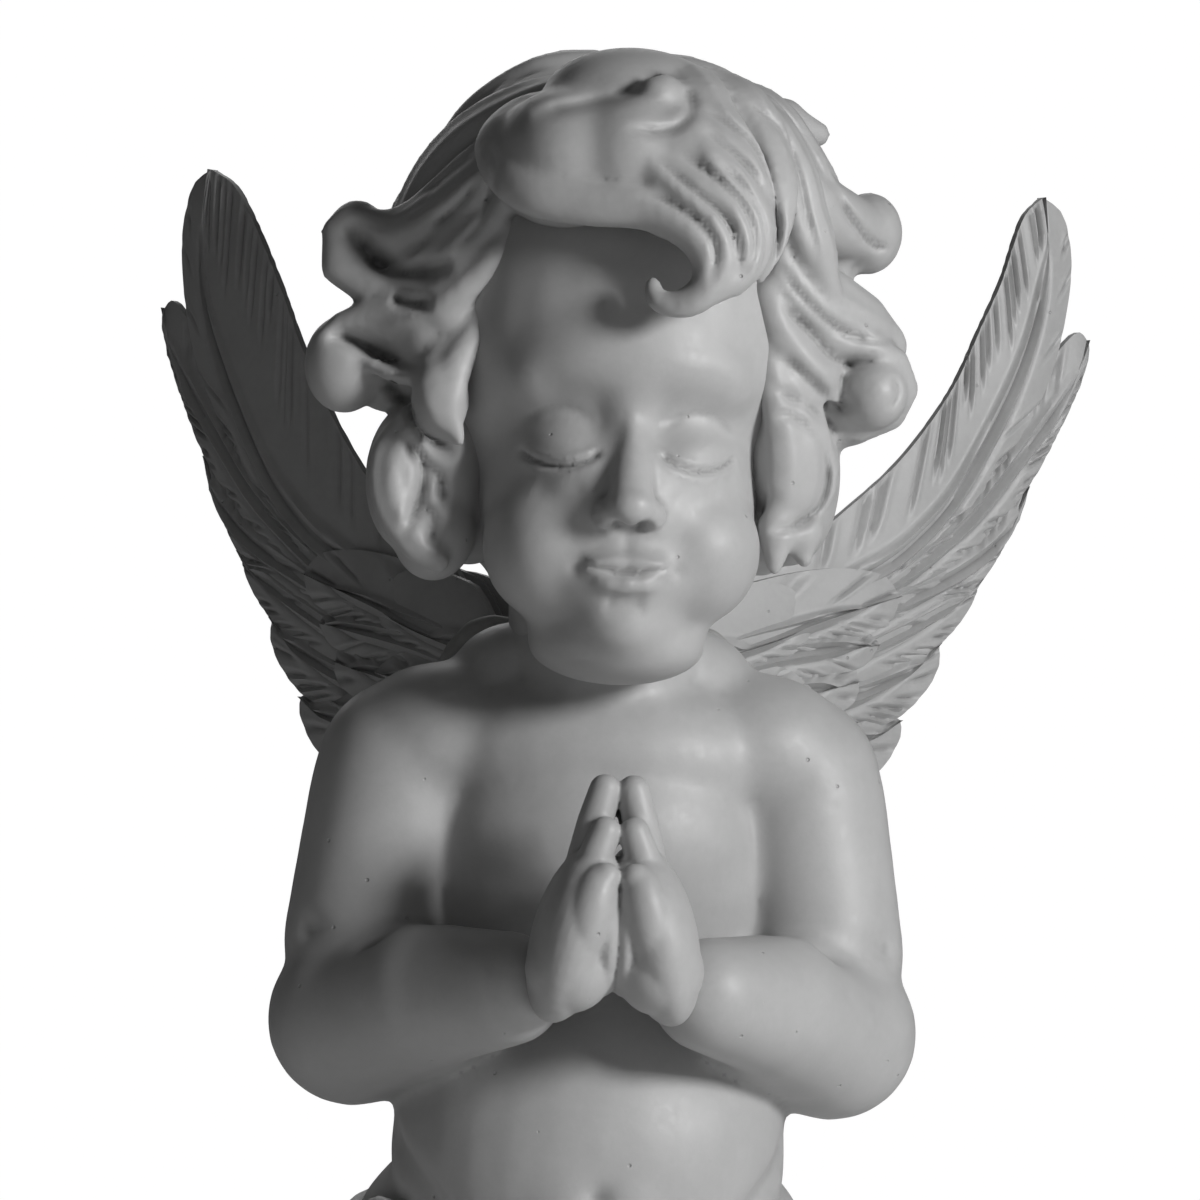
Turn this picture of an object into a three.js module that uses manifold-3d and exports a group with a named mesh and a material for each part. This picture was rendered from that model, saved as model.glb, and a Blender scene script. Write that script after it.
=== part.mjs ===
// Praying cherub: a kneeling winged child in cold-cast resin on an oval plinth.
// Millimetres, +Z up. The figure looks along -Y, +X is on the viewer's right, and the origin is
// the centre of the felt's underside. "left" and "right" are the viewer's.
import * as THREE from 'three';
import { mergeVertices } from 'three/addons/utils/BufferGeometryUtils.js';
import Module from 'manifold-3d';

const wasm = await Module();
wasm.setup();

// ---------------------------------------------------------------- driving dimensions
const GLUE = 0.3; // the adhesive line between two castings, and the clearance round a pin

// Plinth and what is under it
const PLINTH_WIDTH = 122;
const PLINTH_DEPTH = 138;
const PLINTH_HEIGHT = 18;
const PLINTH_STEP = 5; // how far the upper step sits in from the lower one
const FELT_THICKNESS = 1.5;
const FELT_INSET = 2;

// Screws that hold the figure on the plinth
const SCREW_SHANK_R = 2;
const SCREW_HEAD_R = 4;
const SCREW_HEAD_T = 2.5;
const SCREW_BITE = 16; // length of thread in the figure
const SCREW_HALF_SPACING = 22;
const COUNTERBORE_DEPTH = 5;

// Figure, heights above the plinth's top
const HIP_RISE = 42;
const NAVEL_RISE = 68;
const CHEST_RISE = 122;
const SHOULDER_RISE = 142;
const NECK_RISE = 164; // the seat of the head
const ELBOW_RISE = 95;
const WRIST_RISE = 107;
const KNEE_RISE = 20;
const WAISTBAND_RISE = 60; // the cloth's upper edge

// Figure, half widths and reaches
const HIP_HALF = 24;
const HIP_RADIUS = 25;
const WAIST_HALF = 38;
const CHEST_HALF = 37;
const CHEST_DEPTH_HALF = 27;
const SHOULDER_HALF = 37;
const SHOULDER_RADIUS = 16.5;
const ELBOW_HALF = 45;
const ELBOW_RADIUS = 16;
const WRIST_HALF = 12.5;
const WRIST_RADIUS = 9;
const WRIST_FORWARD = 49;
const KNEE_HALF = 29;
const KNEE_RADIUS = 20;
const KNEE_FORWARD = 42;
const DRAPE_HALF_WIDTH = 54;
const DRAPE_HALF_DEPTH = 52;
const DRAPE_BACK = 8; // the cloth's middle lies behind the figure's axis

// Core that lightens the figure, open underneath
const CORE_RADIUS = 13;
const CORE_RISE = 118;

// Neck joint: a spigot on the figure, a socket in the head and a wooden dowel through both
const SPIGOT_RADIUS = 17;
const SPIGOT_RISE = 8;
const DOWEL_RADIUS = 5;
const DOWEL_LENGTH = 34;

// Head, from the neck seat
const HEAD_HEIGHT = 114; // chin line to the top of the hair
const HEAD_HALF_WIDTH = 43;
const HEAD_HALF_DEPTH = 47;
const HEAD_TILT = 1; // degrees, the crown leans to +X
const FACE_HALF_WIDTH = 29;

// Praying hands
const FINGER_RISE = 38; // wrist to the longest fingertip
const PALM_THICKNESS = 8.5;
const PALM_WIDTH = 27;
const WRIST_PIN_RADIUS = 1.5;
const WRIST_PIN_LENGTH = 14;

// Wings
const WING_HEIGHT = 102; // root axis to the tip of the longest feather
const WING_REACH = 96; // root axis to the outermost feather
const WING_ROOT_RISE = 158;
const WING_ROOT_HALF = 17;
const WING_SEAT_BACK = 27; // the flat on the shoulder blade that the wing is glued to
const WING_BOSS_RADIUS = 11;
const WING_BOSS_LENGTH = 12;
const LEFT_WING_SWEEP = 42; // degrees that the wing is turned back from the shoulder line
const RIGHT_WING_SWEEP = 25;
const FEATHER_LAYER = 3;
const WING_PIN_RADIUS = 1.5;
const WING_PIN_LENGTH = 16;
const WING_PIN_HALF_SPACING = 6;
const FILLET_WIDTH = 3; // bead of filler round the wing's root

// ---------------------------------------------------------------- derived levels
const PLINTH_BOTTOM = FELT_THICKNESS + GLUE;
const PLINTH_TOP = PLINTH_BOTTOM + PLINTH_HEIGHT;
const FIGURE_BOTTOM = PLINTH_TOP + GLUE;
const NECK_Z = PLINTH_TOP + NECK_RISE;
const above = (rise) => PLINTH_TOP + rise;
const rad = THREE.MathUtils.degToRad;
const vec = (x, y, z) => new THREE.Vector3(x, y, z);

// ---------------------------------------------------------------- materials
function material(name, colour, roughness, metalness) {
  return new THREE.MeshStandardMaterial({ name, color: colour, roughness, metalness });
}
const RESIN = material('painted_resin', 0x8f8f8f, 0.5, 0);
const FILLER = material('epoxy_filler', 0x9a9a98, 0.7, 0);
const STEEL = material('steel', 0xb4b6b8, 0.35, 1);
const BEECH = material('beech', 0xc79f6b, 0.6, 0);
const FELT = material('felt', 0x3a3d3a, 0.95, 0);

// ---------------------------------------------------------------- solids
// Turns a closed three.js geometry into a solid that can be joined and cut.
function solid(geometry) {
  const bare = geometry.index ? geometry.toNonIndexed() : geometry.clone();
  bare.deleteAttribute('normal');
  bare.deleteAttribute('uv');
  const merged = mergeVertices(bare, 1e-4);
  const index = merged.index.array;
  const triangles = [];
  for (let i = 0; i < index.length; i += 3) {
    const [a, b, c] = [index[i], index[i + 1], index[i + 2]];
    if (a !== b && b !== c && c !== a) triangles.push(a, b, c);
  }
  return new wasm.Manifold(new wasm.Mesh({
    numProp: 3,
    vertProperties: new Float32Array(merged.attributes.position.array),
    triVerts: new Uint32Array(triangles),
  }));
}

function join(solids) {
  return solids.reduce((whole, piece) => whole.add(piece));
}

// An ellipsoid. turn holds degrees about X, Y and Z.
function ball(centre, radii, turn = [0, 0, 0], sides = 12) {
  const geometry = new THREE.SphereGeometry(1, sides, Math.round(sides * 0.6));
  geometry.rotateX(Math.PI / 2);
  geometry.scale(...radii);
  geometry.rotateX(rad(turn[0]));
  geometry.rotateY(rad(turn[1]));
  geometry.rotateZ(rad(turn[2]));
  geometry.translate(centre.x, centre.y, centre.z);
  return solid(geometry);
}

// A straight tapered bar with flat ends.
function bar(from, to, radiusFrom, radiusTo = radiusFrom, sides = 12) {
  const along = to.clone().sub(from);
  const geometry = new THREE.CylinderGeometry(radiusTo, radiusFrom, along.length(), sides);
  const turn = new THREE.Quaternion().setFromUnitVectors(vec(0, 1, 0), along.clone().normalize());
  geometry.applyQuaternion(turn);
  const middle = from.clone().add(to).multiplyScalar(0.5);
  geometry.translate(middle.x, middle.y, middle.z);
  return solid(geometry);
}

// A pin centred on a point, and the socket it goes in.
function pin(centre, direction, radius, length, play = 0) {
  const half = direction.clone().normalize().multiplyScalar(length / 2 + play);
  return bar(centre.clone().sub(half), centre.clone().add(half), radius + play, radius + play, 12);
}

// An upright oval disc, from a half profile of [share of the half width, height] points.
function oval(profile, halfWidth, halfDepth, sides = 36) {
  const points = profile.map(([share, z]) => new THREE.Vector2(share * halfWidth, z));
  const geometry = new THREE.LatheGeometry(points, sides);
  geometry.rotateX(Math.PI / 2);
  geometry.scale(1, halfDepth / halfWidth, 1);
  return solid(geometry);
}

function below(level) {
  const reach = 400;
  const geometry = new THREE.BoxGeometry(reach, reach, reach);
  geometry.translate(0, 0, level - reach / 2);
  return solid(geometry);
}

const group = new THREE.Group();
function addPiece(name, shape, look) {
  const { vertProperties, triVerts, numProp } = shape.getMesh();
  const positions = new Float32Array((vertProperties.length / numProp) * 3);
  for (let i = 0; i < positions.length / 3; i += 1) {
    for (let axis = 0; axis < 3; axis += 1) {
      positions[i * 3 + axis] = vertProperties[i * numProp + axis];
    }
  }
  const geometry = new THREE.BufferGeometry();
  geometry.setAttribute('position', new THREE.BufferAttribute(positions, 3));
  geometry.setIndex(new THREE.BufferAttribute(new Uint32Array(triVerts), 1));
  geometry.computeVertexNormals();
  const mesh = new THREE.Mesh(geometry, look);
  mesh.name = name;
  group.add(mesh);
}

// ---------------------------------------------------------------- joints between the castings
// The two sides of the figure: -1 is the viewer's left, 1 the viewer's right.
const SIDES = { left: -1, right: 1 };

function elbow(side) {
  return vec(side * ELBOW_HALF, -8, above(ELBOW_RISE));
}

function wrist(side) {
  return vec(side * WRIST_HALF, -WRIST_FORWARD, above(WRIST_RISE));
}

function forearmDirection(side) {
  return wrist(side).sub(elbow(side)).normalize();
}

function wristPin(side, play) {
  return pin(wrist(side), forearmDirection(side), WRIST_PIN_RADIUS, WRIST_PIN_LENGTH, play);
}

function wingPins(side, play) {
  return [1, -1].map((up) => {
    const z = above(WING_ROOT_RISE) + up * WING_PIN_HALF_SPACING;
    const centre = vec(side * WING_ROOT_HALF, WING_SEAT_BACK, z);
    return pin(centre, vec(0, 1, 0), WING_PIN_RADIUS, WING_PIN_LENGTH, play);
  });
}

function neckDowel(play) {
  const centre = vec(0, 0, NECK_Z + SPIGOT_RISE);
  return pin(centre, vec(0, 0, 1), DOWEL_RADIUS, DOWEL_LENGTH, play);
}

function screw(side, play) {
  const x = side * SCREW_HALF_SPACING;
  const seat = PLINTH_BOTTOM + COUNTERBORE_DEPTH;
  const head = bar(vec(x, 0, seat - SCREW_HEAD_T - play), vec(x, 0, seat), SCREW_HEAD_R, SCREW_HEAD_R);
  const tip = FIGURE_BOTTOM + SCREW_BITE;
  const shank = bar(vec(x, 0, seat - 1), vec(x, 0, tip + play), SCREW_SHANK_R + play);
  return head.add(shank);
}

// ---------------------------------------------------------------- the figure
function torso() {
  const waistZ = above(NAVEL_RISE);
  return [
    ball(vec(0, 2, above(CHEST_RISE)), [CHEST_HALF, CHEST_DEPTH_HALF, 40], [6, 0, 0], 16),
    ball(vec(0, -7, waistZ), [WAIST_HALF, 33, 36], [0, 0, 0], 16),
    ball(vec(0, 3, above(SHOULDER_RISE) + 5), [SHOULDER_HALF + 6, 19, 16]),
    ball(vec(0, 4, NECK_Z - 8), [29, 19, 12]),
  ];
}

function arm(side) {
  const shoulder = vec(side * SHOULDER_HALF, 2, above(SHOULDER_RISE));
  const wristEnd = wrist(side).addScaledVector(forearmDirection(side), -GLUE / 2);
  return [
    ball(shoulder, [SHOULDER_RADIUS, SHOULDER_RADIUS, SHOULDER_RADIUS]),
    bar(shoulder, elbow(side), SHOULDER_RADIUS * 0.94, ELBOW_RADIUS * 0.94),
    ball(elbow(side), [ELBOW_RADIUS, ELBOW_RADIUS, ELBOW_RADIUS]),
    bar(elbow(side), wristEnd, ELBOW_RADIUS * 0.94, WRIST_RADIUS),
  ];
}

// The thighs lie forward over the shins, so each leg is one folded mass from hip to knee.
function leg(side) {
  const hip = vec(side * HIP_HALF, 4, above(HIP_RISE));
  const knee = vec(side * KNEE_HALF, -KNEE_FORWARD, above(KNEE_RISE));
  return [bar(hip, knee, HIP_RADIUS * 0.9, KNEE_RADIUS * 0.95), ball(knee, [KNEE_RADIUS, KNEE_RADIUS, KNEE_RADIUS])];
}

// The cloth is gathered round the hips and spreads over the folded legs down to the plinth.
function drape() {
  const profile = [
    [0, FIGURE_BOTTOM],
    [1, FIGURE_BOTTOM],
    [0.98, above(10)],
    [0.86, above(HIP_RISE * 0.8)],
    [0.76, above(HIP_RISE + 14)],
    [0.72, above(WAISTBAND_RISE)],
    [0, above(WAISTBAND_RISE)],
  ];
  return oval(profile, DRAPE_HALF_WIDTH, DRAPE_HALF_DEPTH, 24).translate([0, DRAPE_BACK, 0]);
}

function wingBossOnBack(side) {
  const z = above(WING_ROOT_RISE);
  const x = side * WING_ROOT_HALF;
  return bar(vec(x, 4, z), vec(x, WING_SEAT_BACK - GLUE / 2, z), WING_BOSS_RADIUS);
}

function core() {
  const top = above(CORE_RISE);
  const bottom = FIGURE_BOTTOM - 5;
  return bar(vec(0, 4, bottom), vec(0, 2, top), CORE_RADIUS, CORE_RADIUS * 0.7, 20);
}

function bodyCasting() {
  const spigotFoot = NECK_Z - 24;
  let body = join([
    ...torso(),
    drape(),
    ...Object.values(SIDES).flatMap((side) => [...arm(side), ...leg(side), wingBossOnBack(side)]),
    bar(vec(0, 0, spigotFoot), vec(0, 0, NECK_Z), SPIGOT_RADIUS + 4, SPIGOT_RADIUS, 20),
    bar(vec(0, 0, spigotFoot), vec(0, 0, NECK_Z + SPIGOT_RISE), SPIGOT_RADIUS, SPIGOT_RADIUS, 20),
  ]);
  body = body.subtract(below(FIGURE_BOTTOM)).subtract(core()).subtract(neckDowel(GLUE));
  for (const side of Object.values(SIDES)) {
    body = body.subtract(wristPin(side, GLUE)).subtract(screw(side, GLUE));
    for (const wingPin of wingPins(side, GLUE)) body = body.subtract(wingPin);
  }
  return body;
}

// ---------------------------------------------------------------- head and hair
// Head solids are placed from the chin line, which lies level with the neck seat.
function face(chinZ) {
  const cheeks = Object.values(SIDES).map((side) => ball(vec(side * 14, -32, chinZ + 17), [14, 14, 14], [0, 0, 0], 9));
  return [
    ball(vec(0, -18, chinZ + 30), [FACE_HALF_WIDTH, 35, 31], [0, 0, 0], 14),
    ball(vec(0, -37, chinZ + 8), [10, 11, 9]),
    ball(vec(0, -54, chinZ + 24), [4.5, 5, 4], [0, 0, 0], 10),
    ...cheeks,
  ];
}

function hairCap(chinZ) {
  const halfHeight = HEAD_HEIGHT * 0.44;
  const centre = vec(0, -4, chinZ + HEAD_HEIGHT - halfHeight);
  const nape = vec(0, 12, chinZ + HEAD_HEIGHT * 0.4);
  return [
    ball(centre, [HEAD_HALF_WIDTH, HEAD_HALF_DEPTH, halfHeight], [0, 0, 0], 18),
    ball(nape, [HEAD_HALF_WIDTH * 0.86, HEAD_HALF_DEPTH * 0.68, HEAD_HEIGHT * 0.3], [0, 0, 0], 12),
  ];
}

// The rolled fringe sweeps from one temple across the brow and ends in a hooked curl.
function fringe(chinZ) {
  const brow = chinZ + HEAD_HEIGHT * 0.684;
  return [
    ball(vec(-12, -38, brow + 12), [16, 17, 15], [20, 0, 0]),
    ball(vec(8, -42, brow + 6), [17, 17, 17]),
    ball(vec(15, -49, brow - 6), [10, 11, 12], [0, 0, 0], 12),
    ball(vec(6, -56, brow - 13), [7, 6, 6], [0, 0, 0], 10),
  ];
}

// Curls that stand out from the sides: place as shares of the head's half width, half depth and
// height over the chin, then the curl's own radii.
const SIDE_CURLS = [
  { at: [-1.12, -0.17, 0.65], radii: [8, 9, 9] },
  { at: [-1.07, -0.36, 0.46], radii: [12, 12, 12] },
  { at: [-0.79, -0.7, 0.39], radii: [8, 8, 10] },
  { at: [-0.85, -0.34, 0.25], radii: [10, 12, 16] },
  { at: [1.02, -0.09, 0.73], radii: [9, 9, 8] },
  { at: [0.71, 0.17, 0.86], radii: [12, 9, 9] },
  { at: [0.97, -0.38, 0.52], radii: [12, 12, 14] },
  { at: [0.79, -0.5, 0.3], radii: [10, 11, 14] },
  { at: [0.68, -0.56, 0.18], radii: [6, 7, 8] },
];

function sideCurls(chinZ) {
  return SIDE_CURLS.map(({ at: [x, y, rise], radii }) => {
    const centre = vec(x * HEAD_HALF_WIDTH, y * HEAD_HALF_DEPTH, chinZ + rise * HEAD_HEIGHT);
    return ball(centre, radii, [0, 0, 0], 9);
  });
}

// Two rows of curls round the back of the head.
function backCurls(chinZ) {
  const curls = [];
  const rows = [
    { rise: 0.54, count: 5, reach: 0.96, radius: 13 },
    { rise: 0.27, count: 4, reach: 0.8, radius: 12 },
  ];
  for (const { rise, count, reach, radius } of rows) {
    for (let i = 0; i < count; i += 1) {
      const angle = rad(20 + (140 * i) / (count - 1));
      const x = Math.cos(angle) * HEAD_HALF_WIDTH * reach;
      const y = Math.sin(angle) * HEAD_HALF_DEPTH * reach - 2;
      const centre = vec(x, y, chinZ + rise * HEAD_HEIGHT);
      curls.push(ball(centre, [radius, radius * 0.8, radius], [0, 0, 0], 9));
    }
  }
  return curls;
}

function headCasting() {
  const chinZ = NECK_Z;
  const upright = join([
    ...face(chinZ),
    ...hairCap(chinZ),
    ...fringe(chinZ),
    ...sideCurls(chinZ),
    ...backCurls(chinZ),
  ]);
  const tilted = upright.translate([0, 0, -chinZ]).rotate([0, HEAD_TILT, 0]).translate([0, 0, chinZ]);
  const socketFoot = NECK_Z - 30;
  const socket = bar(
    vec(0, 0, socketFoot),
    vec(0, 0, NECK_Z + SPIGOT_RISE + GLUE),
    SPIGOT_RADIUS + GLUE,
    SPIGOT_RADIUS + GLUE,
    20,
  );
  return tilted.subtract(socket).subtract(neckDowel(GLUE));
}

// ---------------------------------------------------------------- hands
// Fingers of one hand: y offset from the palm's middle and share of the full finger rise.
const FINGERS = [
  [7.5, 0.93],
  [2.5, 1],
  [-2.8, 0.83],
  [-8, 0.62],
];

function hand(side) {
  const centre = wrist(side);
  const palmY = centre.y - 3;
  const cuffStart = centre.clone().addScaledVector(forearmDirection(side), GLUE / 2);
  const heel = vec(side * PALM_THICKNESS, palmY, centre.z + 1);
  const palm = ball(
    vec(side * PALM_THICKNESS * 0.9, palmY, centre.z + 9),
    [PALM_THICKNESS, PALM_WIDTH / 2, 17],
    [0, side * -12, 0],
  );
  const fingers = FINGERS.map(([dy, share]) => {
    const foot = vec(side * 6, palmY + dy, centre.z + 12);
    const tip = vec(side * 2.2, palmY + dy + 2, centre.z + FINGER_RISE * share - 3);
    return bar(foot, tip, 4, 3, 7).add(ball(tip, [3, 3, 3.5], [0, 0, 0], 7));
  });
  const thumbFoot = vec(side * 8, palmY + 11, centre.z + 2);
  const thumbTip = vec(side * 3, palmY + 15, centre.z + FINGER_RISE * 0.55);
  return [
    bar(cuffStart, heel, WRIST_RADIUS, PALM_THICKNESS * 0.95),
    palm,
    ...fingers,
    bar(thumbFoot, thumbTip, 4.5, 3, 8),
  ];
}

// What the forearm takes up behind the glue line, so that the palm is cut back from it.
function forearmSpace(side) {
  const mouth = wrist(side).addScaledVector(forearmDirection(side), GLUE / 2);
  const radius = ELBOW_RADIUS;
  return bar(elbow(side), mouth, radius + GLUE, radius + GLUE);
}

function handsCasting() {
  let hands = join([...hand(SIDES.left), ...hand(SIDES.right)]);
  for (const side of Object.values(SIDES)) {
    hands = hands.subtract(forearmSpace(side)).subtract(wristPin(side, GLUE));
  }
  return hands;
}

// ---------------------------------------------------------------- wings
// Feathers lie in rows. Each row runs between a line of roots and a line of tips, both given as
// [share of the wing's reach, share of the wing's height] from the root axis.
const FEATHER_ROWS = [
  {
    count: 10,
    width: 17,
    layer: 0,
    roots: [[0.56, 0.52], [0.42, 0.36], [0.26, 0.2], [0.12, 0.07], [0.03, -0.02]],
    tips: [[0.88, 1.0], [1.0, 0.755], [0.9, 0.5], [0.79, 0.28], [0.66, 0.08], [0.57, -0.06], [0.48, -0.17]],
  },
  {
    count: 8,
    width: 14,
    layer: 1,
    roots: [[0.44, 0.42], [0.32, 0.3], [0.2, 0.17], [0.08, 0.05], [0, -0.03]],
    tips: [[0.74, 0.66], [0.68, 0.4], [0.56, 0.18], [0.42, 0], [0.3, -0.13]],
  },
  {
    count: 6,
    width: 13,
    layer: 2,
    roots: [[0.26, 0.26], [0.16, 0.16], [0.02, 0.04], [-0.02, -0.02]],
    tips: [[0.5, 0.36], [0.4, 0.18], [0.28, 0.03], [0.16, -0.1]],
  },
];

// A feather is a long leaf: it widens fast from the quill and ends in a blunt tip.
function featherOutline(from, to, width) {
  const along = to.clone().sub(from);
  const across = new THREE.Vector2(-along.y, along.x).normalize();
  const stations = 6;
  const edge = (sign) => {
    const points = [];
    for (let i = 1; i < stations; i += 1) {
      const t = i / stations;
      const half = (width / 2) * Math.sin(Math.PI * t ** 0.8) ** 0.6;
      points.push(from.clone().addScaledVector(along, t).addScaledVector(across, sign * half));
    }
    return points;
  };
  return new THREE.Shape([from, ...edge(-1), to, ...edge(1).reverse()]);
}

function wingPoint([reachShare, heightShare]) {
  return new THREE.Vector2(reachShare * WING_REACH, heightShare * WING_HEIGHT);
}

function featherRow({ count, width, layer, roots, tips }) {
  const rootLine = new THREE.SplineCurve(roots.map(wingPoint));
  const tipLine = new THREE.SplineCurve(tips.map(wingPoint));
  const feathers = [];
  for (let i = 0; i < count; i += 1) {
    const t = i / (count - 1);
    const outline = featherOutline(rootLine.getPoint(t), tipLine.getPoint(t), width);
    const plate = new THREE.ExtrudeGeometry(outline, { depth: FEATHER_LAYER, bevelEnabled: false });
    plate.translate(0, 0, layer * FEATHER_LAYER * 0.9);
    feathers.push(solid(plate));
  }
  return join(feathers);
}

// The blade stands in the X-Z plane with its front towards -Y, then is swept back and mirrored.
function wingBlade(side, sweep) {
  const rows = join(FEATHER_ROWS.map(featherRow));
  const upright = rows.rotate([90, 0, 0]).translate([0, FEATHER_LAYER, 0]);
  const swept = upright.rotate([0, 0, sweep]);
  return side > 0 ? swept : swept.mirror([1, 0, 0]);
}

function wingCasting(side, sweep) {
  const x = side * WING_ROOT_HALF;
  const z = above(WING_ROOT_RISE);
  const seat = WING_SEAT_BACK + GLUE / 2;
  const bladeFoot = seat + WING_BOSS_LENGTH;
  const boss = bar(vec(x, seat, z), vec(x, bladeFoot, z), WING_BOSS_RADIUS, WING_BOSS_RADIUS * 0.9);
  let wing = wingBlade(side, sweep).translate([x, bladeFoot, z]).add(boss);
  for (const wingPin of wingPins(side, GLUE)) wing = wing.subtract(wingPin);
  return wing;
}

// The bead of filler that hides the glue line is a ring round the joint.
function wingFiller(side) {
  const inner = WING_BOSS_RADIUS + GLUE;
  const outer = inner + FILLET_WIDTH;
  const profile = [
    [inner, -FILLET_WIDTH / 2],
    [outer, 0],
    [inner, FILLET_WIDTH],
    [inner, -FILLET_WIDTH / 2],
  ].map(([r, y]) => new THREE.Vector2(r, y));
  const ring = new THREE.LatheGeometry(profile, 20);
  ring.translate(side * WING_ROOT_HALF, WING_SEAT_BACK, above(WING_ROOT_RISE));
  return solid(ring);
}

// ---------------------------------------------------------------- plinth and felt
function plinthCasting() {
  const top = (PLINTH_WIDTH / 2 - PLINTH_STEP) / (PLINTH_WIDTH / 2);
  const profile = [[0, PLINTH_BOTTOM], [1, PLINTH_BOTTOM], [1, PLINTH_BOTTOM + 5]];
  const rings = 5;
  for (let i = 0; i <= rings; i += 1) {
    const angle = (Math.PI / 2) * (i / rings);
    const share = top + (1 - top) * (1 - Math.sin(angle));
    profile.push([share, PLINTH_TOP - 2 - (PLINTH_HEIGHT - 8) * Math.cos(angle)]);
  }
  profile.push([top - 0.02, PLINTH_TOP], [0, PLINTH_TOP]);
  let plinth = oval(profile, PLINTH_WIDTH / 2, PLINTH_DEPTH / 2);
  for (const side of Object.values(SIDES)) {
    const x = side * SCREW_HALF_SPACING;
    const seat = PLINTH_BOTTOM + COUNTERBORE_DEPTH + GLUE;
    const counterbore = bar(vec(x, 0, PLINTH_BOTTOM - 1), vec(x, 0, seat), SCREW_HEAD_R + GLUE);
    const hole = bar(vec(x, 0, seat - 1), vec(x, 0, PLINTH_TOP + 1), SCREW_SHANK_R + GLUE);
    plinth = plinth.subtract(counterbore).subtract(hole);
  }
  return plinth;
}

function feltPad() {
  const profile = [[0, 0], [1, 0], [1, FELT_THICKNESS], [0, FELT_THICKNESS]];
  return oval(profile, PLINTH_WIDTH / 2 - FELT_INSET, PLINTH_DEPTH / 2 - FELT_INSET);
}

// ---------------------------------------------------------------- assembly
const SWEEPS = { left: LEFT_WING_SWEEP, right: RIGHT_WING_SWEEP };

addPiece('felt_pad', feltPad(), FELT);
addPiece('plinth_casting', plinthCasting(), RESIN);
addPiece('body_casting', bodyCasting(), RESIN);
addPiece('head_casting', headCasting(), RESIN);
addPiece('hands_casting', handsCasting(), RESIN);
addPiece('neck_dowel', neckDowel(0), BEECH);
for (const [name, side] of Object.entries(SIDES)) {
  addPiece(`${name}_plinth_screw`, screw(side, 0), STEEL);
  addPiece(`${name}_wrist_pin`, wristPin(side, 0), STEEL);
  addPiece(`${name}_wing_casting`, wingCasting(side, SWEEPS[name]), RESIN);
  addPiece(`${name}_wing_filler`, wingFiller(side), FILLER);
  const [upperPin, lowerPin] = wingPins(side, 0);
  addPiece(`${name}_wing_upper_pin`, upperPin, STEEL);
  addPiece(`${name}_wing_lower_pin`, lowerPin, STEEL);
}

export default group;
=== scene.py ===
import math

import bpy
import numpy as np
from bpy.props import FloatProperty, IntProperty, PointerProperty, StringProperty
from mathutils import Matrix, Vector


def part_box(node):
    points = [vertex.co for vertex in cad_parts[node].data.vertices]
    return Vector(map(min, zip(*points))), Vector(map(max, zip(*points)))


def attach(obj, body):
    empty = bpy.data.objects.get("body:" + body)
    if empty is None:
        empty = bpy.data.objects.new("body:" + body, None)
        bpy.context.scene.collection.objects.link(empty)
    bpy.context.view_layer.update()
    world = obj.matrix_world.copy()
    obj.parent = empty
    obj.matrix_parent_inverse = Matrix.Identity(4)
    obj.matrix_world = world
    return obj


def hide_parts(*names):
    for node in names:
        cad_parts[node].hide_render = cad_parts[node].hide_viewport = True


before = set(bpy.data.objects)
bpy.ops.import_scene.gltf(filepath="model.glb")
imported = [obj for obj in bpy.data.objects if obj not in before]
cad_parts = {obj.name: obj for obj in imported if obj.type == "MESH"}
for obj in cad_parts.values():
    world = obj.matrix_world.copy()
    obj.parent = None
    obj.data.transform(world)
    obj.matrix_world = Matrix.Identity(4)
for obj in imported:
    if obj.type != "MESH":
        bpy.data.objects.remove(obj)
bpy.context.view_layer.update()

bl_info = {
    "name": "Praying cherub in cold-cast resin",
    "version": (1, 0, 0),
    "blender": (4, 5, 0),
    "location": "View3D > Sidebar > Cherub",
    "description": "Carves the finished surfaces of a kneeling cherub figurine round its plain castings",
    "category": "Object",
}

MM = 0.001
SIDES = {"left": -1, "right": 1}


# ---------------------------------------------------------------- places read from the castings
def low(node):
    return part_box(node)[0] / MM


def high(node):
    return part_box(node)[1] / MM


def middle(node):
    return (low(node) + high(node)) / 2


PLINTH_TOP = high("plinth_casting").z
NECK = middle("neck_dowel").z - 8.0  # the neck seat, level with the chin line
WRIST = {side: middle(f"{side}_wrist_pin") for side in SIDES}
WING_ROOT = {side: middle(f"{side}_wing_filler") for side in SIDES}
WING_FOOT = {side: low(f"{side}_wing_casting").y + 12.0 for side in SIDES}


def body_at(x, y, rise):
    """A place in millimetres, its height counted from the plinth's top."""
    return Vector((x, y, PLINTH_TOP + rise))


def head_at(x, y, rise):
    """A place in millimetres, its height counted from the chin line."""
    return Vector((x, y, NECK + rise))


# ---------------------------------------------------------------- modelling by primitives
def deselect():
    if bpy.context.object and bpy.context.object.mode != "OBJECT":
        bpy.ops.object.mode_set(mode="OBJECT")
    bpy.ops.object.select_all(action="DESELECT")


def activate(obj):
    deselect()
    obj.select_set(True)
    bpy.context.view_layer.objects.active = obj


def ball(centre, radii, turn=(0, 0, 0)):
    """Adds an egg of clay in edit mode. Sizes in millimetres, turn in degrees."""
    bpy.ops.mesh.primitive_uv_sphere_add(
        segments=28,
        ring_count=16,
        radius=1,
        location=centre * MM,
        rotation=[math.radians(a) for a in turn],
        scale=[r * MM for r in radii],
    )


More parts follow.
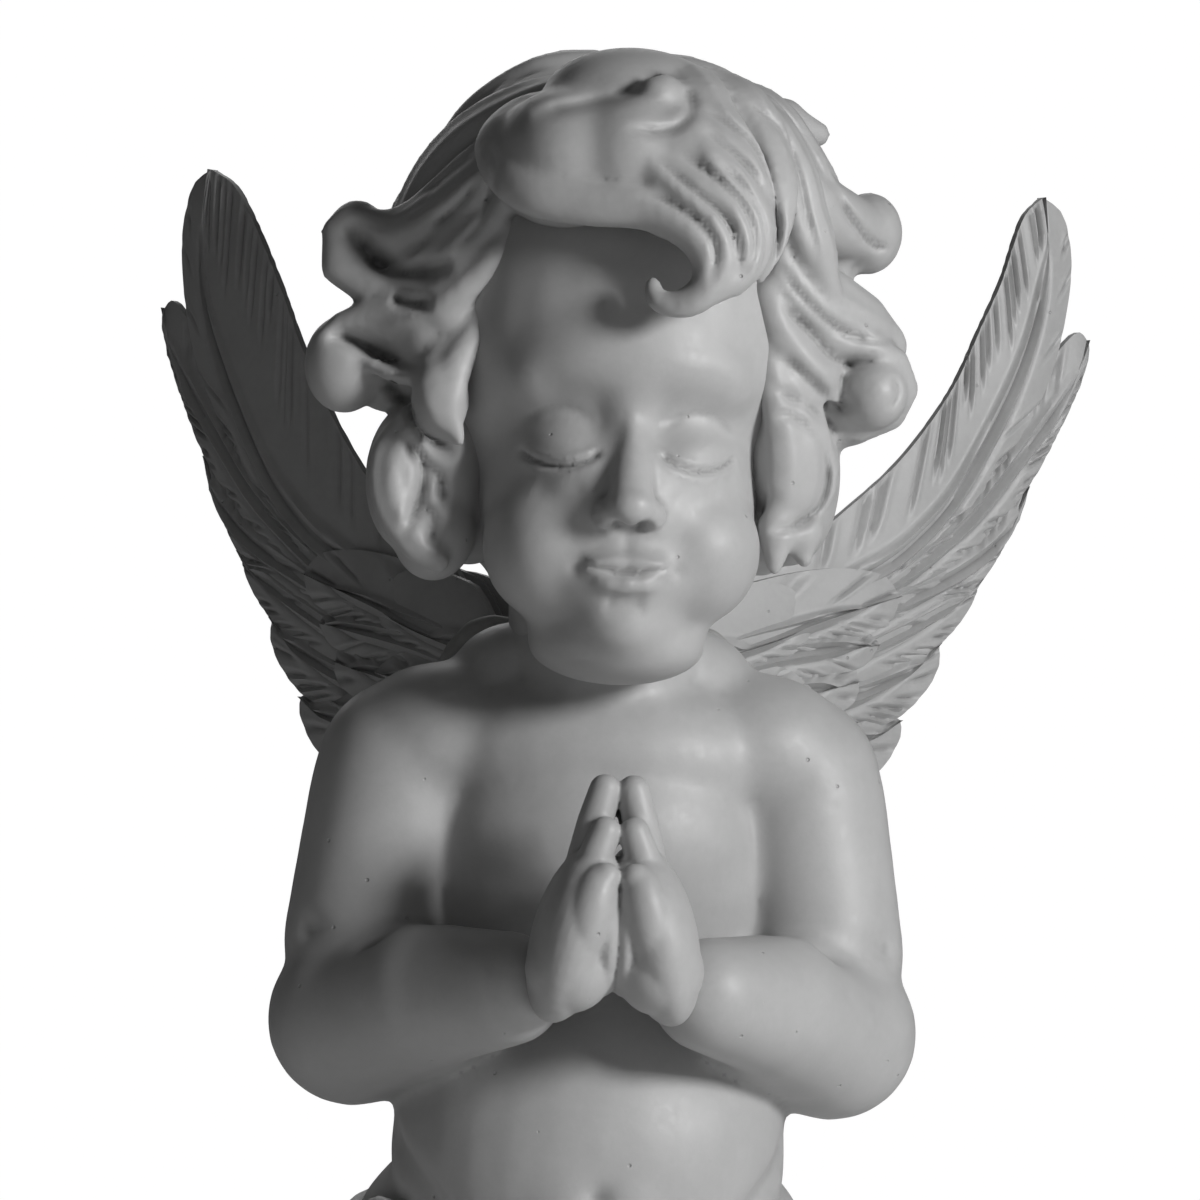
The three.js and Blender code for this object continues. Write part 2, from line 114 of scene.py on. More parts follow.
def limb(start, start_radius, end, end_radius):
    """Adds a tapered roll of clay with a round end at each place."""
    along = end - start
    turn = along.to_track_quat("Z", "Y").to_euler()
    bpy.ops.mesh.primitive_cone_add(
        vertices=24,
        radius1=start_radius * MM,
        radius2=end_radius * MM,
        depth=along.length * MM,
        location=(start + end) / 2 * MM,
        rotation=turn,
    )
    ball(start, [start_radius] * 3)
    ball(end, [end_radius] * 3)


def clay(name, lumps, batch=24):
    """Builds up one mesh from lumps, each a ball or a limb with its measures."""
    parts = []
    for start in range(0, len(lumps), batch):
        deselect()
        bpy.ops.mesh.primitive_uv_sphere_add(radius=MM)
        parts.append(bpy.context.object)
        bpy.ops.object.mode_set(mode="EDIT")
        bpy.ops.mesh.select_all(action="SELECT")
        bpy.ops.mesh.delete(type="VERT")
        for shape, *measures in lumps[start : start + batch]:
            shape(*measures)
        bpy.ops.object.mode_set(mode="OBJECT")
    return join(name, parts)


def chain(places_and_radii):
    """A row of limbs through given places, each (place, radius)."""
    return [(limb, a, ra, b, rb) for (a, ra), (b, rb) in zip(places_and_radii[:-1], places_and_radii[1:])]


def apply_modifier(obj, kind, **settings):
    activate(obj)
    bpy.ops.object.modifier_add(type=kind)
    modifier = obj.modifiers[-1]
    for key, value in settings.items():
        setattr(modifier, key, value)
    bpy.ops.object.modifier_apply(modifier=modifier.name)


def fuse(obj, voxel, smoothing):
    """Fuses the overlapping lumps into one skin and rubs the seams smooth. Millimetres."""
    apply_modifier(obj, "REMESH", mode="VOXEL", voxel_size=voxel * MM, use_smooth_shade=True)
    if smoothing:
        apply_modifier(obj, "SMOOTH", factor=0.5, iterations=smoothing)


def new_mesh(name, points, faces):
    """A mesh object from points in millimetres."""
    mesh = bpy.data.meshes.new(name)
    mesh.from_pydata([tuple(p) for p in np.asarray(points) * MM], [], faces)
    obj = bpy.data.objects.new(name, mesh)
    bpy.context.scene.collection.objects.link(obj)
    return obj


def join(name, objects):
    deselect()
    for obj in objects:
        obj.select_set(True)
    bpy.context.view_layer.objects.active = objects[0]
    bpy.ops.object.join()
    whole = bpy.context.object
    whole.name = name
    whole.data.name = name
    return whole


def shade(obj, material, node, angle=180):
    """Smooth shading, material, and what the piece stands for."""
    activate(obj)
    bpy.ops.object.shade_smooth_by_angle(angle=math.radians(angle))
    obj.data.materials.clear()
    obj.data.materials.append(material)
    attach(obj, "root")
    if node:
        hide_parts(node)


# ---------------------------------------------------------------- carving: moving vertices
def points_of(obj):
    flat = np.empty(len(obj.data.vertices) * 3)
    obj.data.vertices.foreach_get("co", flat)
    return flat.reshape(-1, 3) / MM


def normals_of(obj):
    flat = np.empty(len(obj.data.vertices) * 3)
    obj.data.vertices.foreach_get("normal", flat)
    return flat.reshape(-1, 3)


def set_points(obj, points):
    obj.data.vertices.foreach_set("co", (points * MM).ravel())
    obj.data.update()


def spline(points, step):
    """Resamples a given line as a Catmull-Rom curve, about one point per step."""
    points = np.asarray(points, float)
    ends = [2 * points[0] - points[1], *points, 2 * points[-1] - points[-2]]
    line = []
    for a, b, c, d in zip(ends[:-3], ends[1:-2], ends[2:-1], ends[3:]):
        count = max(2, int(np.linalg.norm((c - b)[:3]) / step))
        for t in np.arange(count) / count:
            line.append(
                0.5
                * (
                    2 * b
                    + (c - a) * t
                    + (2 * a - 5 * b + 4 * c - d) * t**2
                    + (3 * b - a - 3 * c + d) * t**3
                )
            )
    line.append(points[-1])
    return np.array(line)


def line_distance(points, line):
    """Distance from each point to a polyline, and how far along the line the foot lies (0 to 1)."""
    nearest = np.full(len(points), 1e9)
    share = np.zeros(len(points))
    lengths = np.linalg.norm(np.diff(line, axis=0), axis=1)
    total = max(lengths.sum(), 1e-6)
    done = 0.0
    for start, end, length in zip(line[:-1], line[1:], lengths):
        along = end - start
        t = np.clip((points - start) @ along / max(length**2, 1e-9), 0, 1)
        distance = np.linalg.norm(points - start - t[:, None] * along, axis=1)
        closer = distance < nearest
        nearest[closer] = distance[closer]
        share[closer] = (done + t[closer] * length) / total
        done += length
    return nearest, share


def stroke(points, normals, line, width, depth, fade=0.15, axes=(0, 1, 2), mask=None):
    """One stroke of the modelling tool: presses in (depth < 0) or raises along a line.

    axes chooses the directions in which distance is measured, so (0, 2) is a stroke seen from
    the front. The stroke fades out towards both of its ends.
    """
    line = spline(line, max(width / 2, 0.5))
    axes = list(axes)
    lowest, highest = line.min(0) - 3.5 * width, line.max(0) + 3.5 * width
    near = np.all((points[:, axes] > lowest) & (points[:, axes] < highest), axis=1)
    if mask is not None:
        near &= mask
    distance, share = line_distance(points[near][:, axes], line)
    ends = np.clip(np.minimum(share, 1 - share) / fade, 0, 1) if fade else 1
    ends = ends * ends * (3 - 2 * ends)
    points[near] += normals[near] * (depth * np.exp(-((distance / width) ** 2)) * ends)[:, None]


def score(points, normals, line, width, depth, fade=0.22):
    """A groove pressed straight back from the front, along places given as x and height in mm."""
    line = spline([(x, NECK + rise) for x, rise in line], max(width / 2, 0.5))
    distance, share = line_distance(points[:, [0, 2]], line)
    ends = np.clip(np.minimum(share, 1 - share) / fade, 0, 1) if fade else 1
    facing = np.clip((0.25 - normals[:, 1]) / 0.6, 0, 1) * (points[:, 1] < 2)
    points[:, 1] += depth * np.exp(-((distance / width) ** 2)) * ends * facing


def dimple(points, normals, centre, radius, depth, mask=None):
    """A round press or bump."""
    distance = np.linalg.norm(points - np.asarray(centre), axis=1)
    amount = depth * np.exp(-((distance / radius) ** 2))
    if mask is not None:
        amount = amount * mask
    points += normals * amount[:, None]


# ---------------------------------------------------------------- materials
def linear(code):
    """Turns an sRGB hex value into linear red, green, blue, alpha."""
    channels = [int(code[i : i + 2], 16) / 255 for i in (0, 2, 4)]
    return [c / 12.92 if c <= 0.04045 else ((c + 0.055) / 1.055) ** 2.4 for c in channels] + [1.0]


def add_node(tree, kind, inputs=None, **settings):
    """Adds a node, sets its settings, then fills its inputs with values or links."""
    node = tree.nodes.new(kind)
    for key, value in settings.items():
        setattr(node, key, value)
    for key, value in (inputs or {}).items():
        if isinstance(value, bpy.types.NodeSocket):
            tree.links.new(value, node.inputs[key])
        else:
            node.inputs[key].default_value = value
    return node


def ramp(node, stops):
    elements = node.color_ramp.elements
    while len(elements) > 1:
        elements.remove(elements[-1])
    elements[0].position, elements[0].color = stops[0]
    for position, colour in stops[1:]:
        elements.new(position).color = colour


def new_material(name):
    material = bpy.data.materials.new(name)
    material.use_nodes = True
    tree = material.node_tree
    return material, tree, tree.nodes["Principled BSDF"]


def satin_resin(name, light, dark, roughness):
    """Cold-cast polyester filled with stone powder, sprayed with satin grey paint.

    The spray leaves a fine orange peel, and trapped bubbles have opened as tiny pits. The paint is
    darkened in hollows by their curvature: painted shade, partly a wash pooling there.
    """
    material, tree, shader = new_material(name)
    place = add_node(tree, "ShaderNodeTexCoord").outputs["Object"]
    clouds = add_node(
        tree,
        "ShaderNodeTexNoise",
        {"Vector": place, "Scale": 1 / (22 * MM), "Detail": 4.0, "Roughness": 0.6},
    )
    grain = add_node(
        tree,
        "ShaderNodeTexNoise",
        {"Vector": place, "Scale": 1 / (1.6 * MM), "Detail": 3.0, "Roughness": 0.7},
    )
    mottle = add_node(
        tree,
        "ShaderNodeMix",
        {"Factor": 0.3, "A": clouds.outputs["Fac"], "B": grain.outputs["Fac"]},
        data_type="FLOAT",
    )
    paint = add_node(tree, "ShaderNodeValToRGB", {"Fac": mottle.outputs["Result"]})
    ramp(paint, [(0.3, linear(dark)), (0.7, linear(light))])
    # Painted shade: curvature darkens the paint in hollows where shade falls, partly a wash pooling there.
    edges = add_node(tree, "ShaderNodeNewGeometry").outputs["Pointiness"]
    hollow_shade = add_node(tree, "ShaderNodeValToRGB", {"Fac": edges})
    ramp(hollow_shade, [(0.41, linear("6a6a6a")), (0.49, linear("ffffff")), (0.62, linear("ffffff"))])
    wash_and_shade = add_node(
        tree,
        "ShaderNodeMix",
        {},
        data_type="RGBA",
        blend_type="MULTIPLY",
    )
    # How strongly the painted shade darkens the paint in the hollows.
    wash_and_shade.inputs[0].default_value = 0.7
    tree.links.new(paint.outputs["Color"], wash_and_shade.inputs[6])
    tree.links.new(hollow_shade.outputs["Color"], wash_and_shade.inputs[7])
    tree.links.new(wash_and_shade.outputs[2], shader.inputs["Base Color"])
    peel = add_node(
        tree,
        "ShaderNodeTexNoise",
        {"Vector": place, "Scale": 1 / (0.9 * MM), "Detail": 2.0},
    )
    pits = add_node(
        tree,
        "ShaderNodeTexVoronoi",
        {"Vector": place, "Scale": 1 / (7 * MM), "Randomness": 1.0},
    )
    holes = add_node(tree, "ShaderNodeValToRGB", {"Fac": pits.outputs["Distance"]})
    ramp(holes, [(0.025, (0, 0, 0, 1)), (0.06, (1, 1, 1, 1))])
    soft = add_node(
        tree,
        "ShaderNodeBump",
        {"Height": peel.outputs["Fac"], "Strength": 0.12, "Distance": 0.15 * MM},
    )
    opened = add_node(
        tree,
        "ShaderNodeBump",
        {
            "Height": holes.outputs["Color"],
            "Strength": 0.8,
            "Distance": 0.35 * MM,
            "Normal": soft.outputs["Normal"],
        },
    )
    tree.links.new(opened.outputs["Normal"], shader.inputs["Normal"])
    sheen = add_node(
        tree,
        "ShaderNodeMapRange",
        {
            "Value": grain.outputs["Fac"],
            "From Min": 0.3,
            "From Max": 0.7,
            "To Min": roughness - 0.06,
            "To Max": roughness + 0.08,
        },
    )
    tree.links.new(sheen.outputs["Result"], shader.inputs["Roughness"])
    shader.inputs["IOR"].default_value = 1.5
    shader.inputs["Specular IOR Level"].default_value = 0.5
    return material


def drawn_steel():
    """Bright drawn wire: fine lines along the pin and a little grey oxide."""
    material, tree, shader = new_material("drawn_steel")
    place = add_node(tree, "ShaderNodeTexCoord").outputs["Object"]
    lines = add_node(tree, "ShaderNodeTexNoise", {"Vector": place, "Scale": 1 / (0.6 * MM), "Detail": 5.0})
    tone = add_node(tree, "ShaderNodeValToRGB", {"Fac": lines.outputs["Fac"]})
    ramp(tone, [(0.35, linear("8d9094")), (0.65, linear("c4c6c8"))])
    tree.links.new(tone.outputs["Color"], shader.inputs["Base Color"])
    bump = add_node(
        tree,
        "ShaderNodeBump",
        {"Height": lines.outputs["Fac"], "Strength": 0.2, "Distance": 0.05 * MM},
    )
    tree.links.new(bump.outputs["Normal"], shader.inputs["Normal"])
    shader.inputs["Metallic"].default_value = 1.0
    shader.inputs["Roughness"].default_value = 0.32
    return material


def beech_dowel():
    """Turned beech: pale pinkish wood with short darker flecks along the grain."""
    material, tree, shader = new_material("turned_beech")
    place = add_node(tree, "ShaderNodeTexCoord").outputs["Object"]
    stretch = add_node(tree, "ShaderNodeMapping", {"Vector": place, "Scale": (1, 1, 0.12)})
    grain = add_node(
        tree,
        "ShaderNodeTexNoise",
        {"Vector": stretch.outputs["Vector"], "Scale": 1 / (1.2 * MM), "Detail": 6.0},
    )
    tone = add_node(tree, "ShaderNodeValToRGB", {"Fac": grain.outputs["Fac"]})
    ramp(tone, [(0.35, linear("a9794a")), (0.65, linear("d9b084"))])
    tree.links.new(tone.outputs["Color"], shader.inputs["Base Color"])
    bump = add_node(
        tree,
        "ShaderNodeBump",
        {"Height": grain.outputs["Fac"], "Strength": 0.3, "Distance": 0.1 * MM},
    )
    tree.links.new(bump.outputs["Normal"], shader.inputs["Normal"])
    shader.inputs["Roughness"].default_value = 0.62
    return material


def wool_felt():
    """Pressed wool felt: matted fibres that lie every way, dark grey, with a soft edge of sheen."""
    material, tree, shader = new_material("wool_felt")
    place = add_node(tree, "ShaderNodeTexCoord").outputs["Object"]
    fibres = add_node(
        tree,
        "ShaderNodeTexNoise",
        {"Vector": place, "Scale": 1 / (0.8 * MM), "Detail": 8.0, "Distortion": 1.5},
    )
    tone = add_node(tree, "ShaderNodeValToRGB", {"Fac": fibres.outputs["Fac"]})
    ramp(tone, [(0.3, linear("2b2d2b")), (0.7, linear("4a4d4a"))])
    tree.links.new(tone.outputs["Color"], shader.inputs["Base Color"])
    bump = add_node(
        tree,
        "ShaderNodeBump",
        {"Height": fibres.outputs["Fac"], "Strength": 0.8, "Distance": 0.3 * MM},
    )
    tree.links.new(bump.outputs["Normal"], shader.inputs["Normal"])
    shader.inputs["Roughness"].default_value = 0.95
    shader.inputs["Sheen Weight"].default_value = 0.3
    return material


MATERIALS = {}


def make_materials():
    settings = bpy.context.scene.cherub_finish
    MATERIALS["resin"] = satin_resin(
        "satin_painted_cold_cast_resin", settings.resin_light, settings.resin_dark, settings.resin_roughness
    )
    # The wings take the same resin a shade darker: painted shade standing in for the shade on the wings.
    MATERIALS["wing"] = satin_resin(
        "wing_resin_darkened_as_painted_shade", settings.shaded_wing_pale, settings.shaded_wing_dark, settings.resin_roughness
    )
    MATERIALS["filler"] = satin_resin("painted_epoxy_filler", "a5a5a4", "868685", 0.6)
    MATERIALS["steel"] = drawn_steel()
    MATERIALS["beech"] = beech_dowel()
    MATERIALS["felt"] = wool_felt()


# ---------------------------------------------------------------- settings
class CherubFinish(bpy.types.PropertyGroup):
    resin_light: StringProperty(name="Resin, pale", description="sRGB hex of the paint's pale patches",
        default="adadad")
    resin_dark: StringProperty(name="Resin, dark", description="sRGB hex of the paint's dark patches",
        default="a1a1a1")
    # The wings' greys are the resin's greys made a shade darker, as painted shade on the wings.
    shaded_wing_pale: StringProperty(name="Wing, pale", description="sRGB hex of the wings' pale patches",
        default="a4a4a4")
    shaded_wing_dark: StringProperty(name="Wing, dark", description="sRGB hex of the wings' dark patches",
        default="949494")
    resin_roughness: FloatProperty(name="Resin roughness", description="Satin of the paint", default=0.5,
        min=0, max=1)


class CherubDetail(bpy.types.PropertyGroup):
    skin_voxel: FloatProperty(name="Skin grain", description="Mesh size of the body, in mm", default=1.1,
        min=0.5)
    face_voxel: FloatProperty(name="Face grain", description="Mesh size of the face, in mm", default=0.75,
        min=0.4)
    hair_voxel: FloatProperty(name="Hair grain", description="Mesh size of the hair, in mm", default=0.85,
        min=0.4)
    hand_voxel: FloatProperty(name="Hand grain", description="Mesh size of the hands, in mm", default=0.5,
        min=0.3)
    fold_count: IntProperty(name="Folds", description="Folds round the cloth", default=17, min=3)
    left_sweep: FloatProperty(name="Left sweep",
        description="Degrees the viewer's left wing is turned back", default=42)
    right_sweep: FloatProperty(name="Right sweep", description="Degrees the right wing is turned back",
        default=25)


def detail():
    return bpy.context.scene.cherub_detail


# ---------------------------------------------------------------- body
def torso_lumps():
    lumps = [
        (ball, body_at(0, 1, 122), (35, 25, 40), (5, 0, 0)),
        (ball, body_at(0, -7, 72), (37.5, 32, 34)),
        (ball, body_at(0, -13, 66), (26, 27, 24)),
        (ball, body_at(0, 5, 51), (44.5, 34, 29)),
        (ball, body_at(0, 4, 155), (31, 17, 12)),
        (ball, body_at(0, -3, 146), (34, 20, 17)),
        (ball, body_at(0, -6.5, 131), (30, 19.5, 22)),
        (limb, body_at(0, 2, 150), 19, body_at(0, -3, 168), 17),
    ]
    for side in SIDES.values():
        lumps += [
            (ball, body_at(side * 30, 1, 148), (18, 17, 15)),
            (ball, body_at(side * 17, 14, 140), (15, 12, 20)),
        ]
    return lumps


def arm_lumps(name, side):
    wrist = WRIST[name]
    elbow = body_at(side * 45, -7, 95.5)
    toward = (wrist - elbow).normalized()
    end = wrist - toward * 9.4
    belly = elbow.lerp(wrist, 0.42) + Vector((0, -1, 1.5))
    return [
        (ball, body_at(side * 37, 2, 142), (17, 17, 17.5)),
        (limb, body_at(side * 38.5, 1, 138), 16.5, body_at(side * 43.5, -3, 110), 15.5),
        (ball, elbow, (16.5, 16.5, 16.5)),
        (limb, elbow, 15.5, belly, 14),
        (limb, belly, 13.6, end, 10.6),
        (limb, body_at(side * 17, 4, WING_ROOT["left"].z - PLINTH_TOP), 13,
         Vector((side * 17, 17, WING_ROOT["left"].z)), 10.5),
    ]


def carve_body(obj):
    points, normals = points_of(obj), normals_of(obj)
    front = normals[:, 1] < 0.3
    back = normals[:, 1] > 0
    for side in SIDES.values():
        crease = [body_at(side * x, y, r) for x, y, r in [(33, -21, 126), (31.6, -24, 117), (31, -26, 107)]]
        stroke(points, normals, crease, 3.0, -1.6, fade=0.5, mask=front)
        pit = [body_at(side * x, y, r) for x, y, r in [(29, 20, 138), (32, 18, 124), (33, 16, 108)]]
        stroke(points, normals, pit, 3.5, -2.0, mask=back)
        crook = [(58, -10, 112), (51, -20, 113), (43, -23, 112), (35, -23, 108)]
        bend = [body_at(side * x, y, rise) for x, y, rise in crook]
        stroke(points, normals, bend, 2.6, -1.8)
        hip = [body_at(side * x, y, r) for x, y, r in [(40, -8, 76), (34, -22, 68), (25, -32, 57)]]
        stroke(points, normals, hip, 3.0, -2.0)
        collar = [body_at(side * x, y, r) for x, y, r in [(5, -19, 158), (16, -19, 159), (28, -13, 160)]]
        stroke(points, normals, collar, 3.0, 0.4)
        blade = [(8, 26, 128), (16, 28, 120), (25, 24, 118)]
        shoulder_blade = [body_at(side * x, y, rise) for x, y, rise in blade]
        stroke(points, normals, shoulder_blade, 4.0, -1.2)
    spine = [body_at(0, y, r) for y, r in [(22, 150), (27, 130), (26, 110), (26, 90), (30, 70)]]
    stroke(points, normals, spine, 3.5, -2.2)
    breastbone = [body_at(0, y, r) for y, r in [(-20, 146), (-25, 130), (-27, 112)]]
    stroke(points, normals, breastbone, 6.0, -0.5)
    fold = [(-13, -19, 159), (-5, -22, 158.5), (5, -22, 158.5), (13, -19, 159)]
    neck_fold = [body_at(x, y, rise) for x, y, rise in fold]
    stroke(points, normals, neck_fold, 1.2, -0.7)
    belly = [(-30, -24, 88), (-14, -36, 92), (0, -39, 93), (14, -36, 92), (30, -24, 88)]
    roll = [body_at(x, y, rise) for x, y, rise in belly]
    stroke(points, normals, roll, 3.0, -0.5)
    navel = body_at(0, -40, 67)
    dimple(points, normals, navel, 6.0, -1.2)
    dimple(points, normals, navel, 2.2, -2.6)
    set_points(obj, points)


class OBJECT_OT_cherub_body(bpy.types.Operator):
    """Model the torso and arms as one casting, with baby folds pressed into it"""

    bl_idname = "object.cherub_body"
    bl_label = "Body"

    def execute(self, context):
        lumps = torso_lumps()
        for name, side in SIDES.items():
            lumps += arm_lumps(name, side)
        body = clay("body", lumps)
        fuse(body, detail().skin_voxel, 26)
        carve_body(body)
        apply_modifier(body, "SMOOTH", factor=0.5, iterations=3)
        shade(body, MATERIALS["resin"], "body_casting")
        return {"FINISHED"}


# ---------------------------------------------------------------- cloth
def cloth_lumps():
    lumps = [
        (ball, body_at(0, 6, 44), (42, 36, 20)),
        (ball, body_at(0, 16, 22), (48, 40, 34)),
        (ball, body_at(0, 8, 2), (51, 50, 14)),
    ]
    for side in SIDES.values():
        lumps += [
            (limb, body_at(side * 22, 4, 38), 21, body_at(side * 28, -38, 20), 19),
            (ball, body_at(side * 29, -38, 8), (22, 22, 14)),
            (limb, body_at(side * 26, -30, 8), 12, body_at(side * 22, 44, 10), 13),
        ]
    return lumps


def carve_cloth(obj):
    points, normals = points_of(obj), normals_of(obj)
    rise = points[:, 2] - PLINTH_TOP
    around = np.arctan2(points[:, 0], -(points[:, 1] - 6))
    share = np.clip(1 - rise / 60, 0, 1)
    wobble = 0.8 * np.sin(3 * around + 0.6) + 0.5 * np.sin(5 * around + 2 * share)
    phase = detail().fold_count * around + wobble + 1.4 * share
    fold = np.cos(phase) + 0.35 * np.cos(2 * phase + 1.0)
    depth = 0.5 + 2.3 * share**0.8
    points += normals * (fold * depth * (1 - np.abs(normals[:, 2]) * 0.7))[:, None]
    points[:, 2] = np.maximum(points[:, 2], PLINTH_TOP + 0.2)
    set_points(obj, points)


def waistband_points():
    """The rolled upper edge: a twisted oval rope of cloth."""
    turns, sides = 160, 20
    rows = []
    for i in range(turns):
        angle = 2 * math.pi * i / turns
        centre = body_at(41.5 * math.sin(angle), 5 - 36 * math.cos(angle),
            53.5 + 2.5 * math.cos(angle + 0.5))
        outward = Vector((math.sin(angle), -math.cos(angle), 0))
        for j in range(sides):
            turn = 2 * math.pi * j / sides
            fullness = 1 + 0.16 * math.cos(3 * turn + 9 * angle) + 0.08 * math.sin(5 * angle)
            radius = 5.2 * fullness
            up = Vector((0, 0, radius * 1.2 * math.sin(turn)))
            rows.append(centre + outward * (radius * 0.8 * math.cos(turn)) + up)
    faces = []
    for i in range(turns):
        for j in range(sides):
            a, b = i * sides + j, i * sides + (j + 1) % sides
            c, d = ((i + 1) % turns) * sides + (j + 1) % sides, ((i + 1) % turns) * sides + j
            faces.append((a, b, c, d))
    return rows, faces


class OBJECT_OT_cherub_cloth(bpy.types.Operator):
    """Model the cloth over the folded legs, with its rolled upper edge"""

    bl_idname = "object.cherub_cloth"
    bl_label = "Cloth"

    def execute(self, context):
        cloth = clay("cloth", cloth_lumps())
        fuse(cloth, 1.6, 14)
        carve_cloth(cloth)
        band = new_mesh("waistband", *waistband_points())
        cloth = join("cloth", [cloth, band])
        fuse(cloth, 1.3, 3)
        shade(cloth, MATERIALS["resin"], None)
        return {"FINISHED"}


# ---------------------------------------------------------------- head
def face_lumps():
    lumps = [
        (ball, head_at(0, -4, 61), (38, 43, 42)),
        (ball, head_at(0, -16, 32), (26.5, 33, 31)),
        (ball, head_at(0, -24, 56), (27.5, 24.5, 26)),
        (ball, head_at(0, -37, 8.5), (10.5, 9.5, 8)),
        (ball, head_at(0, -28, 4), (17, 15, 8)),
        (ball, head_at(0, -40, 17), (14, 9, 9)),
        (limb, head_at(0, 0, 10), 19, head_at(0, 4, -2), 17.5),
    ]
    for side in SIDES.values():
        lumps += [
            (ball, head_at(side * 12, -32, 21), (13.5, 14, 14)),
            (ball, head_at(side * 11, -36.4, 51), (12.5, 8.2, 8.5)),
        ]
    return lumps


def feature_lumps():
    """Nose and lips, added once the head's big forms are fused."""
    lumps = [
        (limb, head_at(0, -43.2, 44), 3.4, head_at(0, -50.2, 31), 4.0),
        (ball, head_at(0, -52.0, 28.6), (4.3, 4.1, 3.7)),
        (ball, head_at(0, -47.3, 14.9), (6.4, 3.0, 2.4)),
        (ball, head_at(0, -45.2, 18.0), (10.0, 4.0, 3.8)),
    ]
    for side in SIDES.values():
        lumps += [
            (ball, head_at(side * 4.1, -49.0, 27.2), (2.7, 3.3, 2.6)),
            (ball, head_at(side * 3.0, -47.7, 18.3), (5.4, 2.5, 1.8), (0, side * 12, 0)),
        ]
    return lumps


def swell(points, normals, place, radii, height, mask):
    """Raises or presses an oval patch seen from the front; place is x and height in mm."""
    across = (points[:, 0] - place[0]) / radii[0]
    up = (points[:, 2] - NECK - place[1]) / radii[1]
    points += normals * (height * np.exp(-(across**2) - up**2) * mask)[:, None]


def carve_face(obj):
    points, normals = points_of(obj), normals_of(obj)
    front = (normals[:, 1] < 0.25) & (points[:, 1] < -25)

    def press(line, width, depth, fade=0.2):
        flat = [(x, NECK + z) for x, z in line]
        stroke(points, normals, flat, width, depth, fade, axes=(0, 2), mask=front)

    for side in SIDES.values():
        swell(points, normals, (side * 12, 44), (10, 7.5), -2.6, front)
        swell(points, normals, (side * 6.2, 43), (3.6, 5.5), -1.6, front)
        swell(points, normals, (side * 12.6, 39.8), (7.4, 4.4), 2.7, front)
        swell(points, normals, (side * 13, 53.5), (10, 4.2), 1.1, front)
        swell(points, normals, (side * 15.5, 24), (9, 8), 1.0, front)
        lash = [(side * 5.2, 38.6), (side * 8.2, 36.6), (side * 12.5, 35.5), (side * 16.8, 36.4),
            (side * 20.2, 38.8)]
        press(lash, 0.62, -1.15, 0.1)
        press([(x, z + 1.1) for x, z in lash], 0.7, 0.45)
        press([(x, z - 1.2) for x, z in lash], 0.8, 0.35)
        lid_fold = [(6.5, 43.2), (9.5, 45.6), (13, 46.2), (17, 45), (20, 42)]
        press([(side * x, rise) for x, rise in lid_fold], 0.9, -0.35)
        press([(side * 7.5, 31.8), (side * 12.5, 29.8), (side * 17.5, 31.8)], 2.0, -0.3)
        press([(side * 6.2, 28.8), (side * 6.5, 27), (side * 5.5, 25.2)], 0.8, -0.45)
        press([(side * 1.9, 25.0), (side * 2.9, 25.2)], 0.8, -0.9, 0)
        press([(side * 8.6, 18.2), (side * 9.2, 17.4)], 1.2, -0.6, 0)
    lip_line = [(-8.4, 17.6), (-4, 17.1), (-1.4, 16.7), (0, 17.0), (1.4, 16.7), (4, 17.1), (8.4, 17.6)]
    press(lip_line, 0.75, -1.15, 0.1)
    press([(0, 24.2), (0, 20.9)], 1.2, -0.35, 0)
    press([(-4.2, 11.4), (0, 10.9), (4.2, 11.4)], 2.0, -0.5)
    swell(points, normals, (0, 6.5), (6, 4.5), 1.0, front)
    set_points(obj, points)


class OBJECT_OT_cherub_face(bpy.types.Operator):
    """Model a calm child's face of plain proportions, with closed lids"""

    bl_idname = "object.cherub_face"
    bl_label = "Face"

    def execute(self, context):
        base = clay("face", face_lumps())
        fuse(base, 1.3, 18)
        features = clay("features", feature_lumps())
        face = join("face", [base, features])
        fuse(face, detail().face_voxel, 12)
        carve_face(face)
        apply_modifier(face, "SMOOTH", factor=0.5, iterations=1)
        shade(face, MATERIALS["resin"], "head_casting")
        return {"FINISHED"}


